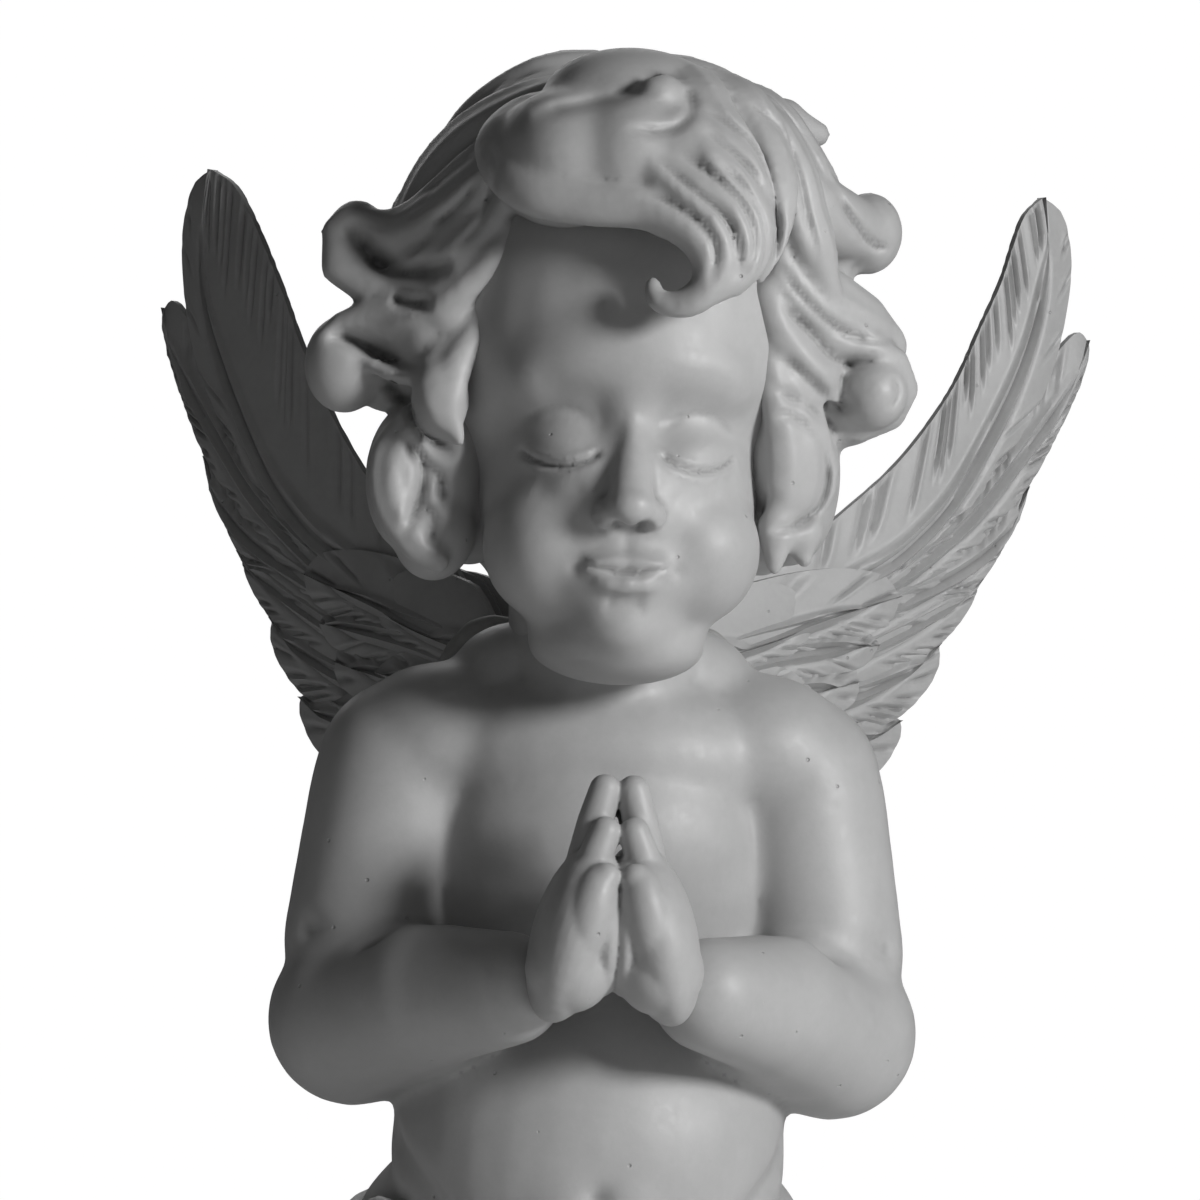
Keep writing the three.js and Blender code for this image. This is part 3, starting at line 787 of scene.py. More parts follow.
# ---------------------------------------------------------------- hair
def lock(line, width, thickness, grooves=2, depth=0.8, curl=None):
    """One lock of hair, lofted section by section.

    It is lofted in code because a swept curve can't keep its flat side on the head. line holds
    places; width and thickness are lists spread evenly along it. curl adds a spiral to
    its end: (first radius, last radius, turns), where a negative number of turns bends the other
    way.
    """
    path = spline([tuple(p) for p in line], 1.4)
    widths = np.interp(np.linspace(0, 1, len(path)), np.linspace(0, 1, len(width)), width)
    thicks = np.interp(np.linspace(0, 1, len(path)), np.linspace(0, 1, len(thickness)), thickness)
    tangents = np.gradient(path, axis=0)
    tangents /= np.linalg.norm(tangents, axis=1)[:, None]
    centre = np.array(head_at(0, 0, 58))
    normals = [path[0] - centre]
    for tangent in tangents:
        side = normals[-1] - tangent * (normals[-1] @ tangent)
        normals.append(side / np.linalg.norm(side))
    normals = np.array(normals[1:])
    if curl:
        start, end, turns = curl
        steps = max(8, int(abs(turns) * 22))
        point, tangent, up = path[-1], tangents[-1], normals[-1]
        more, more_tangents, more_normals = [], [], []
        for i in range(steps):
            radius = start + (end - start) * i / steps
            angle = 2 * math.pi * turns / steps
            spin = Matrix.Rotation(angle, 3, Vector(up))
            point = point + tangent * radius * abs(angle)
            tangent = np.array(spin @ Vector(tangent))
            up = np.array(spin @ Vector(up))
            more.append(point)
            more_tangents.append(tangent)
            more_normals.append(up)
        fade = np.linspace(1, 0.72, steps)
        path = np.vstack([path, more])
        tangents = np.vstack([tangents, more_tangents])
        normals = np.vstack([normals, more_normals])
        widths = np.concatenate([widths, widths[-1] * fade])
        thicks = np.concatenate([thicks, thicks[-1] * fade])
    acrosses = np.cross(tangents, normals)
    angles = np.linspace(0, 2 * math.pi, 28, endpoint=False)
    flat, crown = np.cos(angles), np.sin(angles)
    ridge = np.where(crown > 0, 0.5 - 0.5 * np.cos(2 * math.pi * (grooves + 1) * (flat + 1) / 2), 0)
    points, faces = [], []
    for i in range(len(path)):
        strand = min(i, len(path) - 1 - i, 4) / 4
        section_width = widths[i] / 2
        section_thick = thicks[i] / 2
        height = section_thick * crown + depth * strand * ridge * np.minimum(1, section_width / 4)
        ring = path[i] + np.outer(section_width * flat, acrosses[i]) + np.outer(height, normals[i])
        points.append(ring)
    sides = len(angles)
    rings = len(points)
    start_cap = points[0].mean(0) - tangents[0] * thicks[0] * 0.3
    end_cap = points[-1].mean(0) + tangents[-1] * thicks[-1] * 0.3
    stack = np.vstack([*points, [start_cap], [end_cap]])
    for i in range(rings - 1):
        for j in range(sides):
            k = (j + 1) % sides
            faces.append((i * sides + j, i * sides + k, (i + 1) * sides + k, (i + 1) * sides + j))
    for j in range(sides):
        k = (j + 1) % sides
        faces.append((rings * sides, k, j))
        faces.append((rings * sides + 1, (rings - 1) * sides + j, (rings - 1) * sides + k))
    return stack, faces


# The hair's big smooth forms: x, y, height over the chin line, then half-widths.
HAIR_MASSES = [
    ((0, 3, 66), (40.5, 42, 45)),
    ((0, 10, 38), (33, 27, 28)),
    ((-20, -6, 84), (20, 24, 20)),
    ((16, -4, 90), (18.5, 26, 20.5)),
    ((0, -8, 88), (26, 30, 25)),
    # the fringe's roll, from the parting to where its strands gather
    ((-12.5, -37, 91.5), (14.5, 18, 13)),
    ((-2, -41, 92), (13.5, 16.5, 12.5)),
    ((8, -42.5, 90), (12.5, 15, 13.5)),
    ((-1, -31, 103), (17, 15, 10)),
    # what the curls grow from, each side
    ((-36, -16, 62), (9, 15, 16)),
    ((-33, -12, 36), (9.5, 15, 20)),
    ((37, -14, 58), (8.5, 13, 14)),
    ((33, -14, 36), (9, 14, 17)),
    ((29, -20, 42), (7, 14, 15)),
    ((-27, -6, 28), (8, 13, 11)),
    ((28, -6, 28), (7.5, 13, 11)),
]
# Rolled ends and lobes, the same way.
HAIR_ROLLS = [
    ((2.4, -46, 102), (5, 6, 5)),
    # the viewer's left
    ((-50.2, -15, 75.6), (6.4, 5.4, 8.8)),
    ((-44, -13, 73), (8, 6, 8)),
    ((-51.6, -17.5, 53.6), (7.6, 6.4, 9.2)),
    ((-43, -14, 55), (9, 8, 10)),
    ((-34.2, -31.5, 47), (5.4, 4.6, 7.6)),
    ((-38.5, -19, 33), (8.6, 8.6, 14)),
    ((-34, -18, 24), (8, 9, 10)),
    # the viewer's right
    ((46.4, -6, 83), (6.6, 8, 7.8)),
    ((46, -25, 52), (6.6, 7.5, 7)),
    ((42, -18, 50), (8, 8, 8)),
    ((33.5, -22, 37), (7.4, 7.5, 10.5)),
]
# Tubes of hair: x, y, height over the chin line, radius.
HAIR_CHAINS = [
    [(-33.2, -32.5, 44, 3.0), (-29.8, -34, 39.6, 0.9)],
    # the uppermost left curl's upper edge: out and up to its tip
    [(-36, -21, 79, 6), (-43, -18.5, 77.5, 4.6), (-48.5, -17, 79.6, 3.4), (-52, -17, 80.6, 2.6),
     (-54.4, -17, 78, 2.6)],
    [(-54, -17.5, 76, 2.8), (-53.4, -18, 71.5, 3.4), (-49, -19, 68.6, 3.4), (-43, -21, 67, 3.4),
     (-36, -24, 66, 4)],
    # the second left curl's upper edge and the small strands under it
    [(-33, -27, 64, 6), (-41, -23, 62, 5), (-47, -21, 62, 3.8), (-52, -20, 60.6, 2.8),
     (-55.6, -19.5, 57.5, 2.4)],
    [(-47, -23.5, 53.4, 1.5), (-42, -26.5, 52, 2.2), (-36, -30, 52, 3)],
    # the right: shoulder of the rolled end
    [(31, -23, 86, 8), (38, -17, 84, 7), (44, -10, 83, 6)],
    # the second right curl: upper roll and rim
    [(28.5, -30.5, 73, 4.6), (36, -27, 69, 6), (43, -22, 65, 6), (48, -19, 61, 5)],
    [(31, -31, 64.5, 3.4), (37, -29.5, 61, 3.2), (44, -28.5, 60.6, 2.9), (50, -25.5, 58, 2.6),
     (52.4, -23, 53, 2.6), (50, -21.5, 48, 2.8), (44, -21, 45.6, 3)],
    [(29, -30.5, 61, 4.4), (34, -29.5, 57, 4), (39.5, -27, 53, 3)],
    # the small tips behind the jaw
    [(29, -28, 26, 4), (28.6, -29, 19, 1.6)],
    [(33, -24, 26, 5), (34.6, -25, 20.5, 1.6)],
    # the tip that stands out at the upper right
    [(22, 0, 102, 8), (30, 4, 103.6, 5.6), (37.4, 6, 102.6, 2.6)],
]


# Locks seen from the front. Each is a line of places, then widths, thicknesses and grooves.
FRONT_LOCKS = [
    # the fringe's lower edge, which runs into the hook
    (
        [(-17, -24, 103), (-23.5, -36, 94), (-20.5, -45.5, 86.5), (-10, -50.5, 83), (1, -54, 81.5),
         (9, -57, 77), (12.2, -57.5, 71.5), (10.6, -57, 66.6), (6.2, -56, 64.6), (2.6, -55, 65.6),
          (2.2, -54, 69)],
        (8, 12, 13, 12, 12, 10, 8.5, 7.5, 7, 6, 3),
        (5, 8, 10, 9, 9, 8, 7.5, 7, 6.5, 5, 3),
        0,
    ),
    (
        [(-7, -44, 98), (-3, -49, 94), (4, -53.5, 88), (11.5, -57, 81.5), (15.2, -57.8, 74.5),
         (14, -57.5, 68.5), (9.5, -56.5, 64.5)],
        (4, 9, 10, 9, 8, 6, 3),
        (2, 6, 8, 7.5, 6, 5, 3),
        1,
    ),
    (
        [(5, -46, 101.5), (9, -50, 96.5), (13, -54.5, 88.5), (18, -56.8, 79), (17.4, -57, 71),
         (13, -56.5, 66)],
        (4, 9, 9.5, 8, 6.5, 3),
        (3, 7, 8, 7, 6, 3),
        1,
    ),
    (
        [(3, -12, 109.5), (9, -39, 105), (13, -48.5, 98), (18, -52.5, 90.5), (21, -54.5, 81.5),
         (20.2, -55.5, 73), (16, -55.8, 67)],
        (10, 11, 11, 9.5, 8, 6, 3),
        (5, 7, 8, 7, 6, 5, 3),
        2,
    ),
    (
        [(7, -10, 109), (17, -35, 104), (22, -42, 96.5), (24.6, -46.5, 87.5), (24, -50, 78), (21, -53, 70)],
        (12, 12, 11, 9, 7, 3),
        (5, 8, 8, 7, 5, 3),
        2,
    ),
    # the left sweeps, which start flush with the brow and feed both curls
    (
        [(-17, -26, 98), (-27, -27, 90.5), (-34.5, -24.5, 84), (-41, -20.5, 79.5), (-47, -18, 78.5),
         (-52, -17, 80)],
        (11, 15, 15, 13, 10, 6),
        (5, 6, 6, 5.5, 5, 4),
        2,
    ),
    (
        [(-21, -28, 90), (-26.5, -29, 83), (-33, -27.5, 76), (-39, -24.5, 71), (-45, -21, 69)],
        (8, 12, 12, 10, 5),
        (3, 5, 6, 5, 3),
        2,
    ),
    (
        [(-23, -30, 80), (-28, -30.5, 73), (-34, -28.5, 67), (-41, -24.5, 63), (-48, -21, 62)],
        (7, 11, 12, 11, 6),
        (3, 5, 6, 6, 4),
        2,
    ),
    (
        [(-25, -29.5, 68), (-29.5, -30, 60), (-33, -30.5, 53), (-33.8, -32.5, 46), (-30.2, -34, 39)],
        (5, 8, 11, 10.5, 2),
        (2, 3.5, 6, 5.5, 2),
        1,
    ),
    (
        [(-5, -3, 109.5), (-21, -14, 103), (-32, -11, 95), (-38.5, -8, 84), (-40.5, -6, 70), (-40, -5, 58)],
        (13, 18, 19, 18, 15, 12),
        (5, 7, 8, 8, 8, 6),
        2,
    ),
    # the lobe beside the left cheek, then the one beside the right
    (
        [(-33, -24, 48), (-38, -24, 43), (-42.5, -24, 36), (-42, -25, 28), (-37.5, -26, 21),
         (-32, -26, 16.5)],
        (5, 8, 9, 8, 7, 4),
        (4, 6, 6, 6, 5, 3),
        1,
    ),
    (
        [(25, -32.5, 62), (28, -31.5, 54), (31, -29.5, 46), (32.5, -28, 38), (31.5, -27.5, 31),
         (28.5, -28, 26)],
        (6, 10, 14, 16, 15, 8),
        (4, 6, 7, 8, 7, 3),
        2,
    ),
    # the right: broad lock to the point, the roll above the bulb, the hairline bands
    (
        [(9, -10, 108.5), (20, -34, 101.5), (27, -37, 92), (30.5, -37, 83), (34.5, -35, 74),
         (38.2, -33, 66)],
        (12, 15, 15, 13, 10, 2),
        (5, 8, 8, 8, 7, 2),
        2,
    ),
    (
        [(11, -4, 109), (23, -22, 103.5), (30, -25, 95), (34.5, -23, 88), (40, -16, 84.5), (46, -10, 84)],
        (13, 16, 16, 15, 13, 9),
        (5, 8, 8, 8, 7, 6),
        3,
    ),
    (
        [(23.5, -36.5, 84), (27.5, -35, 76), (33, -32.5, 69.5), (41, -28, 66), (48, -23, 63)],
        (7, 10, 12, 11, 6),
        (6, 6, 7, 6, 5),
        2,
    ),
    (
        [(24, -35, 72), (28, -33.5, 63), (34, -31, 56.5), (40, -28, 52)],
        (7, 9, 10, 6),
        (6, 6, 6, 5),
        1,
    ),
    (
        [(13, 2, 108.5), (26, -10, 103), (34, -10, 94), (38.5, -8, 84), (39.5, -6, 70), (38, -5, 58)],
        (14, 17, 18, 17, 15, 12),
        (5, 8, 8, 8, 8, 6),
        3,
    ),
]


# Grooves pressed in from the front: x and height over the chin line, then width and depth.
HAIR_GROOVES = [
    ([(-20.6, 98.2), (-11.2, 100.6), (-6.5, 101.7), (-2.9, 103.1), (-0.6, 105.3)], 1.5, 2.2),
    ([(7.6, 104.4), (8, 100), (5.6, 96.6), (1.3, 95.4), (-4, 96)], 0.9, 1.2),
    ([(7, 100.7), (13, 98.5), (18.6, 94.5), (21.8, 89.3), (23.8, 82.8), (24.3, 78), (23.4, 72.6),
     (20, 67)], 0.9, 1.8),
    ([(38.6, 89.6), (39.4, 86.4), (42.4, 83), (46, 80.4), (50.6, 80)], 0.8, 2.6),
    ([(-39.3, 83.7), (-35.7, 87.1), (-31.3, 90.9), (-28.2, 93.8)], 0.7, 1.6),
    ([(-37.4, 78.9), (-33.8, 81.3), (-30.7, 84.6), (-28.8, 87.9)], 0.8, 1.6),
    ([(-52.4, 79.4), (-49.8, 76.8), (-47.4, 73.8), (-44.4, 71.4), (-40.6, 70.4), (-36.5, 71), (-33, 72.4)],
     1.8, 5.5),
    ([(-44, 65.6), (-40, 64.8), (-36, 64.6)], 1.2, 3.0),
    ([(-55.4, 58), (-51.6, 58.2), (-47.6, 56.6), (-43.8, 54.4), (-40.2, 53.4), (-37.4, 54)], 1.3, 4.4),
    ([(-44.6, 50.4), (-42, 49), (-40.4, 46)], 1.2, 3.0),
    ([(-39.6, 50), (-39.2, 45.4), (-35.6, 40.4), (-30.4, 37.6)], 1.2, 3.0),
    ([(9.8, 96.5), (15.4, 92), (20.9, 86.5), (24.2, 79.8), (24, 73)], 0.8, 1.5),
    ([(5.3, 92), (12, 87.6), (17.5, 82), (19.8, 75.3), (17, 68.7)], 0.8, 1.7),
    ([(0.9, 90.9), (7.6, 85.4), (14.2, 79.8), (17, 73.1), (15.4, 68)], 0.8, 1.7),
    ([(-1.3, 84.2), (4.2, 82.5), (9.8, 78.7), (12.5, 74.2), (12, 67.5)], 0.7, 1.4),
    ([(11.6, 91.4), (16.8, 86.6), (20.6, 80.8), (21.4, 74), (19.4, 68)], 0.7, 1.2),
    ([(-28.6, 94.6), (-26.4, 88.6), (-28, 80), (-33, 74)], 0.8, 1.2),
    ([(16.4, 104), (24.6, 98.4), (28.6, 90.4), (31, 82), (34, 74)], 0.8, 1.6),
    ([(22, 105.6), (30, 99.6), (34.6, 92.6), (38.4, 88)], 0.8, 1.6),
    ([(27, 66.6), (32.3, 62.8), (37.9, 57.6), (42, 57.2), (46.8, 58)], 0.9, 1.8),
    ([(40.4, 56.5), (39.6, 51.6), (41.6, 47.6)], 1.1, 2.6),
    ([(49.4, 55), (50.2, 51.6), (48.4, 48.6)], 0.7, 1.2),
    ([(27.5, 57.9), (32.5, 53.9), (38.1, 50)], 0.9, 1.5),
    ([(25.4, 52), (30, 50), (36, 47.4), (40.6, 44)], 0.9, 1.4),
    ([(26.6, 46.6), (31, 46.4), (36, 43)], 0.7, 1.2),
    ([(37, 42), (38, 36), (36.6, 30.4), (32, 26.8), (26.5, 25.4)], 0.9, 2.6),
    ([(26, 74.4), (29.7, 69.6), (35.4, 64.6), (42.3, 61.8), (49.6, 61.2)], 0.7, 1.4),
    ([(-41, 41), (-37, 36), (-37, 29), (-40, 22)], 1.0, 2.4),
    ([(-37, 36), (-33.6, 33), (-32.4, 28)], 0.9, 1.8),
    ([(-37, 29), (-34.2, 25), (-35, 20)], 0.8, 1.4),
]


def carve_hair(obj):
    points, normals = points_of(obj), normals_of(obj)
    for line, width, depth in HAIR_GROOVES:
        score(points, normals, line, width, depth)
    dimple(points, normals, head_at(0.6, -47, 107), 1.6, -2.6)
    set_points(obj, points)


def on_head(around, up, lift):
    """A place on the hair's rounded mass: degrees from the brow towards +X, degrees up, mm out."""
    around, up = math.radians(around), math.radians(up)
    level = math.cos(up if up > 0 else 0.75 * up)
    return head_at(
        (42 + lift) * math.sin(around) * level,
        2 - (44 + lift) * math.cos(around) * level,
        66 + (47 + lift) * math.sin(up),
    )


def back_locks():
    """Waves from the crown that turn out into curls, in four staggered rows round the back."""
    locks = []
    rows = [
        {"from": 84, "to": 24, "count": 6, "first": 114, "last": 246, "width": 21, "lift": 0.5},
        {"from": 34, "to": -14, "count": 7, "first": 102, "last": 258, "width": 18, "lift": 0.0},
        {"from": 0, "to": -40, "count": 8, "first": 92, "last": 268, "width": 17, "lift": -3.0},
        {"from": -28, "to": -72, "count": 7, "first": 98, "last": 262, "width": 15, "lift": -2.5},
    ]
    for row_index, row in enumerate(rows):
        for i in range(row["count"]):
            around = row["first"] + (row["last"] - row["first"]) * i / (row["count"] - 1)
            sway = 9 if (i + row_index) % 2 else -9
            line = []
            for step in range(5):
                share = step / 4
                up = row["from"] + (row["to"] - row["from"]) * share
                turn = around + sway * math.sin(math.pi * 1.3 * share)
                line.append(on_head(turn, up, row["lift"]))
            width = row["width"]
            locks.append(
                lock(
                    line,
                    (width * 0.6, width, width, width * 0.75, width * 0.45),
                    (7, 9, 9, 8, 7),
                    grooves=3,
                    curl=(7.0, 3.0, 0.85 if (i + row_index) % 2 else -0.85),
                )
            )
    return locks


def crown_locks():
    """Short waves round the crown that cover the top of the head."""
    locks = []
    for i in range(7):
        around = 80 + 200 * i / 6
        line = []
        for turn, up, lift in [(-25, 86, -3), (-12, 74, -2), (0, 60, -1), (8, 45, -1)]:
            line.append(on_head(around + turn, up, lift))
        locks.append(lock(line, (9, 15, 16, 10), (6, 7, 7, 5), grooves=2))
    return locks


class OBJECT_OT_cherub_hair(bpy.types.Operator):
    """Model the curly hair lock by lock over a rounded mass, then fuse it"""

    bl_idname = "object.cherub_hair"
    bl_label = "Hair"

    def execute(self, context):
        mass = clay("hair", [(ball, head_at(*place), radii) for place, radii in HAIR_MASSES])
        fuse(mass, 1.2, 12)
        rolls = [(ball, head_at(*place), radii) for place, radii in HAIR_ROLLS]
        for row in HAIR_CHAINS:
            rolls += chain([(head_at(x, y, rise), radius) for x, y, rise, radius in row])
        rolls = clay("rolls", rolls)
        locks = []
        for line, width, thickness, grooves in FRONT_LOCKS:
            locks.append(lock([head_at(*place) for place in line], width, thickness, grooves))
        locks += [*back_locks(), *crown_locks()]
        pieces = [new_mesh(f"lock_{i}", *shape) for i, shape in enumerate(locks)]
        hair = join("hair", [mass, rolls, *pieces])
        fuse(hair, detail().hair_voxel, 6)
        carve_hair(hair)
        apply_modifier(hair, "SMOOTH", factor=0.5, iterations=2)
        shade(hair, MATERIALS["resin"], None)
        return {"FINISHED"}


# ---------------------------------------------------------------- hands
# One hand's fingers, first to little: how far in front of the palm's middle, height of the tip
# over the wrist, radius.
FINGERS = [
    {"depth": 8.0, "tip": 35, "radius": 3.3},
    {"depth": 2.9, "tip": 37.4, "radius": 3.4},
    {"depth": -2.6, "tip": 30.2, "radius": 3.3},
    {"depth": -8.0, "tip": 22.4, "radius": 3.2},
]


def hand_lumps(name, side):
    wrist = WRIST[name]
    elbow = body_at(side * 45, -7, 95.5)
    toward = (wrist - elbow).normalized()
    palm_y = wrist.y - 3
    lumps = [
        (limb, wrist + toward * 7.4 + Vector((0, 0, 1.5)), 8.0,
         Vector((side * 8.0, palm_y + 1.5, wrist.z + 6)), 7.0),
        (ball, Vector((side * 7.5, palm_y, wrist.z + 9)), (7.4, 12.4, 16.4), (0, -14 * side, 0)),
        (ball, Vector((side * 6.4, palm_y + 2.5, wrist.z + 15)), (5.4, 11.0, 10), (0, -16 * side, 0)),
    ]
    for finger in FINGERS:
        y = palm_y + finger["depth"]
        radius, tip = finger["radius"], finger["tip"]
        lumps += chain(
            [
                (Vector((side * 7.6, y + 0.6, wrist.z + tip * 0.22)), radius * 1.25),
                (Vector((side * 6.0, y - 0.2, wrist.z + tip * 0.52)), radius * 1.08),
                (Vector((side * 4.0, y - 0.6, wrist.z + tip * 0.78)), radius * 0.98),
                (Vector((side * 2.6, y - 0.3, wrist.z + tip - 2.6)), radius * 0.84),
            ]
        )
    lumps += [
        (ball, Vector((side * 1.5, palm_y, wrist.z + 11)), (3.2, 10.5, 13)),
        (ball, Vector((side * 5.2, palm_y - 7.5, wrist.z + 13)), (4.6, 5.4, 9.5), (0, -14 * side, 0)),
    ]
    lumps += chain(
        [
            (Vector((side * 7, palm_y + 11, wrist.z + 3)), 5.2),
            (Vector((side * 5.5, palm_y + 14.5, wrist.z + 13)), 4.2),
            (Vector((side * 3.4, palm_y + 13.5, wrist.z + 21)), 3.2),
        ]
    )
    return lumps


def carve_hands(obj):
    points, normals = points_of(obj), normals_of(obj)
    wrist = WRIST["right"]
    palms_meet = [(-64, -6), (-66, 8), (-66, 24), (-60, 33), (-52, 42), (-40, 40)]
    seam = [(0, y, wrist.z + rise) for y, rise in palms_meet]
    stroke(points, normals, seam, 0.7, -1.0, fade=0)
    set_points(obj, points)


class OBJECT_OT_cherub_hands(bpy.types.Operator):
    """Model the praying hands, palm to palm, as one casting"""

    bl_idname = "object.cherub_hands"
    bl_label = "Hands"

    def execute(self, context):
        lumps = []
        for name, side in SIDES.items():
            lumps += hand_lumps(name, side)
        hands = clay("hands", lumps)
        fuse(hands, detail().hand_voxel, 5)
        carve_hands(hands)
        apply_modifier(hands, "SMOOTH", factor=0.5, iterations=1)
        shade(hands, MATERIALS["resin"], "hands_casting")
        return {"FINISHED"}


# ---------------------------------------------------------------- wings
# Feathers, as (reach, height) in mm from the wing's root: the quill, the edge on the leading side
# and the trailing edge, all three ending at the tip; then the layer, 0 at the back.
FEATHERS = [
    {
        "quill": [(10, -10), (25, -11), (38, -10.4), (48, -8), (54.5, -4.6)],
        "inner": [(8, -4), (24, -3.4), (38, -2.8), (49, -2), (54.5, -4.6)],
        "outer": [(14, -18), (28, -19.5), (42, -19), (50.5, -14.5), (54.8, -8), (54.5, -4.6)],
        "layer": 0.0,
    },
    {
        "quill": [(8, -4), (25, -4), (40, -1.2), (52, 3.4), (59, 7.8), (63.2, 11.6)],
        "inner": [(8, 4), (25, 4), (40, 7.5), (53, 11.5), (60, 13.2), (63.2, 11.6)],
        "outer": [(10, -10), (26, -9.5), (41, -7.5), (53, -4.4), (60.4, 1.8), (63.4, 7), (63.2, 11.6)],
        "layer": 0.9,
    },
    {
        "quill": [(8, 0), (24, 1), (44, 9), (60, 16.2), (69, 21.4), (72.8, 25.2)],
        "inner": [(8, 6), (24, 9), (44, 17), (59.6, 23.4), (69, 27.4), (72.8, 25.2)],
        "outer": [(10, -5), (27, -5), (44, 0.5), (56, 7), (64.6, 12.6), (70.6, 19.6), (72.8, 25.2)],
        "layer": 1.8,
    },
    {
        "quill": [(8, 3), (28, 8), (49, 17.6), (63, 23.4), (72, 28.6), (78.5, 35), (83.4, 44.8)],
        "inner": [(8, 9), (28, 16), (48, 25), (64, 33), (75, 41), (80.8, 46), (83.4, 44.8)],
        "outer": [(10, -2), (30, 1), (50, 10), (64.5, 18), (73, 25.2), (79.4, 34), (83.2, 41.6),
            (83.4, 44.8)],
        "layer": 2.7,
    },
    {
        "quill": [(8, 6), (30, 13), (46, 21), (58.5, 29.1), (67, 35.6), (78, 47), (88, 58), (94, 67.5),
            (97.6, 76.2)],
        "inner": [(8, 12), (30, 20), (46, 29), (60, 38), (71, 48), (80, 59), (86, 68), (91.6, 75.2),
            (95.4, 77.8), (97.6, 76.2)],
        "outer": [(10, 1), (32, 6), (50, 15.5), (64, 26), (74, 35), (84, 45.6), (92.2, 58.7), (97.2, 68.6),
            (98.4, 74.4), (97.6, 76.2)],
        "layer": 3.6,
    },
    {
        "quill": [(6, 8), (22, 15), (36, 21), (44.5, 24.6), (52, 29.6), (60.5, 37.4), (68.6, 48.6),
            (75.4, 60), (80.4, 71), (83.6, 82.4), (84.8, 93), (83.5, 105)],
        "inner": [(0, 25), (14, 27.5), (27.5, 32), (38.4, 39.5), (50.3, 49.6), (61.5, 63.4), (68.6, 77),
            (73.6, 87), (76.4, 95), (79, 101), (83.5, 105)],
        "outer": [(9, 3), (28, 9), (44, 17.6), (57.7, 27.7), (67, 37.6), (77, 50.4), (84.2, 61),
            (88.6, 71), (91, 81), (92, 90), (91, 97.4), (88.4, 102.6), (83.5, 105)],
        "layer": 4.5,
    },
    {
        "quill": [(6, -8), (20, -8), (32, -7), (41, -5)],
        "inner": [(6, -3), (20, -3), (32, -1.6), (41, -5)],
        "outer": [(8, -14), (21, -14.5), (33, -13), (41, -5)],
        "layer": 4.6,
    },
    {
        "quill": [(4, -2), (18, -1), (31, 1.4), (40.6, 3.2)],
        "inner": [(4, 4), (18, 6), (31, 7.4), (39, 7), (40.6, 3.2)],
        "outer": [(6, -7), (20, -7), (32, -5), (39.8, -1), (40.6, 3.2)],
        "layer": 5.2,
    },
    {
        "quill": [(4, 3), (18, 6.6), (31.6, 9), (40.2, 10.4), (45, 10.8)],
        "inner": [(4, 8), (18, 12.5), (31, 14.4), (41, 13.8), (45, 10.8)],
        "outer": [(6, -1), (20, 1), (32, 4), (41, 6.2), (45, 10.8)],
        "layer": 6.0,
    },
    {
        "quill": [(2, 6), (16, 10.6), (28.6, 15), (40, 18.6), (49, 20.8)],
        "inner": [(0, 18), (12, 22), (25, 25), (36, 26), (45, 24.8), (49, 20.8)],
        "outer": [(4, 2), (18, 6), (32, 9.8), (42.6, 13.2), (47.8, 17), (49, 20.8)],
        "layer": 6.8,
    },
    {
        "quill": [(0, -6), (12, -7), (22, -7), (29, -6)],
        "inner": [(0, -1), (12, -1.4), (24, -1.6), (29, -6)],
        "outer": [(0, -11), (12, -12.6), (24, -11.6), (29, -6)],
        "layer": 6.6,
    },
    {
        "quill": [(-2, -1), (10, -0.4), (20, 0.6), (28, 1.6)],
        "inner": [(-2, 4), (10, 5), (21, 5.6), (28, 1.6)],
        "outer": [(-2, -6), (10, -6), (22, -4.4), (28, 1.6)],
        "layer": 7.2,
    },
    {
        "quill": [(-4, 5), (8, 8), (18, 11), (27, 14.6)],
        "inner": [(-6, 17), (6, 21), (15, 22.6), (23, 21), (27, 14.6)],
        "outer": [(-2, 1), (10, 3.6), (21, 7.4), (26.4, 11), (27, 14.6)],
        "layer": 7.6,
    },
]
# The left wing's leading feather is broader on its inner side.
BROAD_INNER = [
    (0, 25), (14, 27.5), (26, 33), (35.4, 42), (45, 53.5), (54, 67),
    (60.5, 78.6), (66, 87.6), (71, 95), (76.6, 101.6), (83.5, 105),
]
FEATHER_STEP = 0.62
BARB_LEAN = 1.6  # how far a barb runs towards the tip for each mm it runs outward
LAYER = 0.95  # how far each layer stands out from the one behind


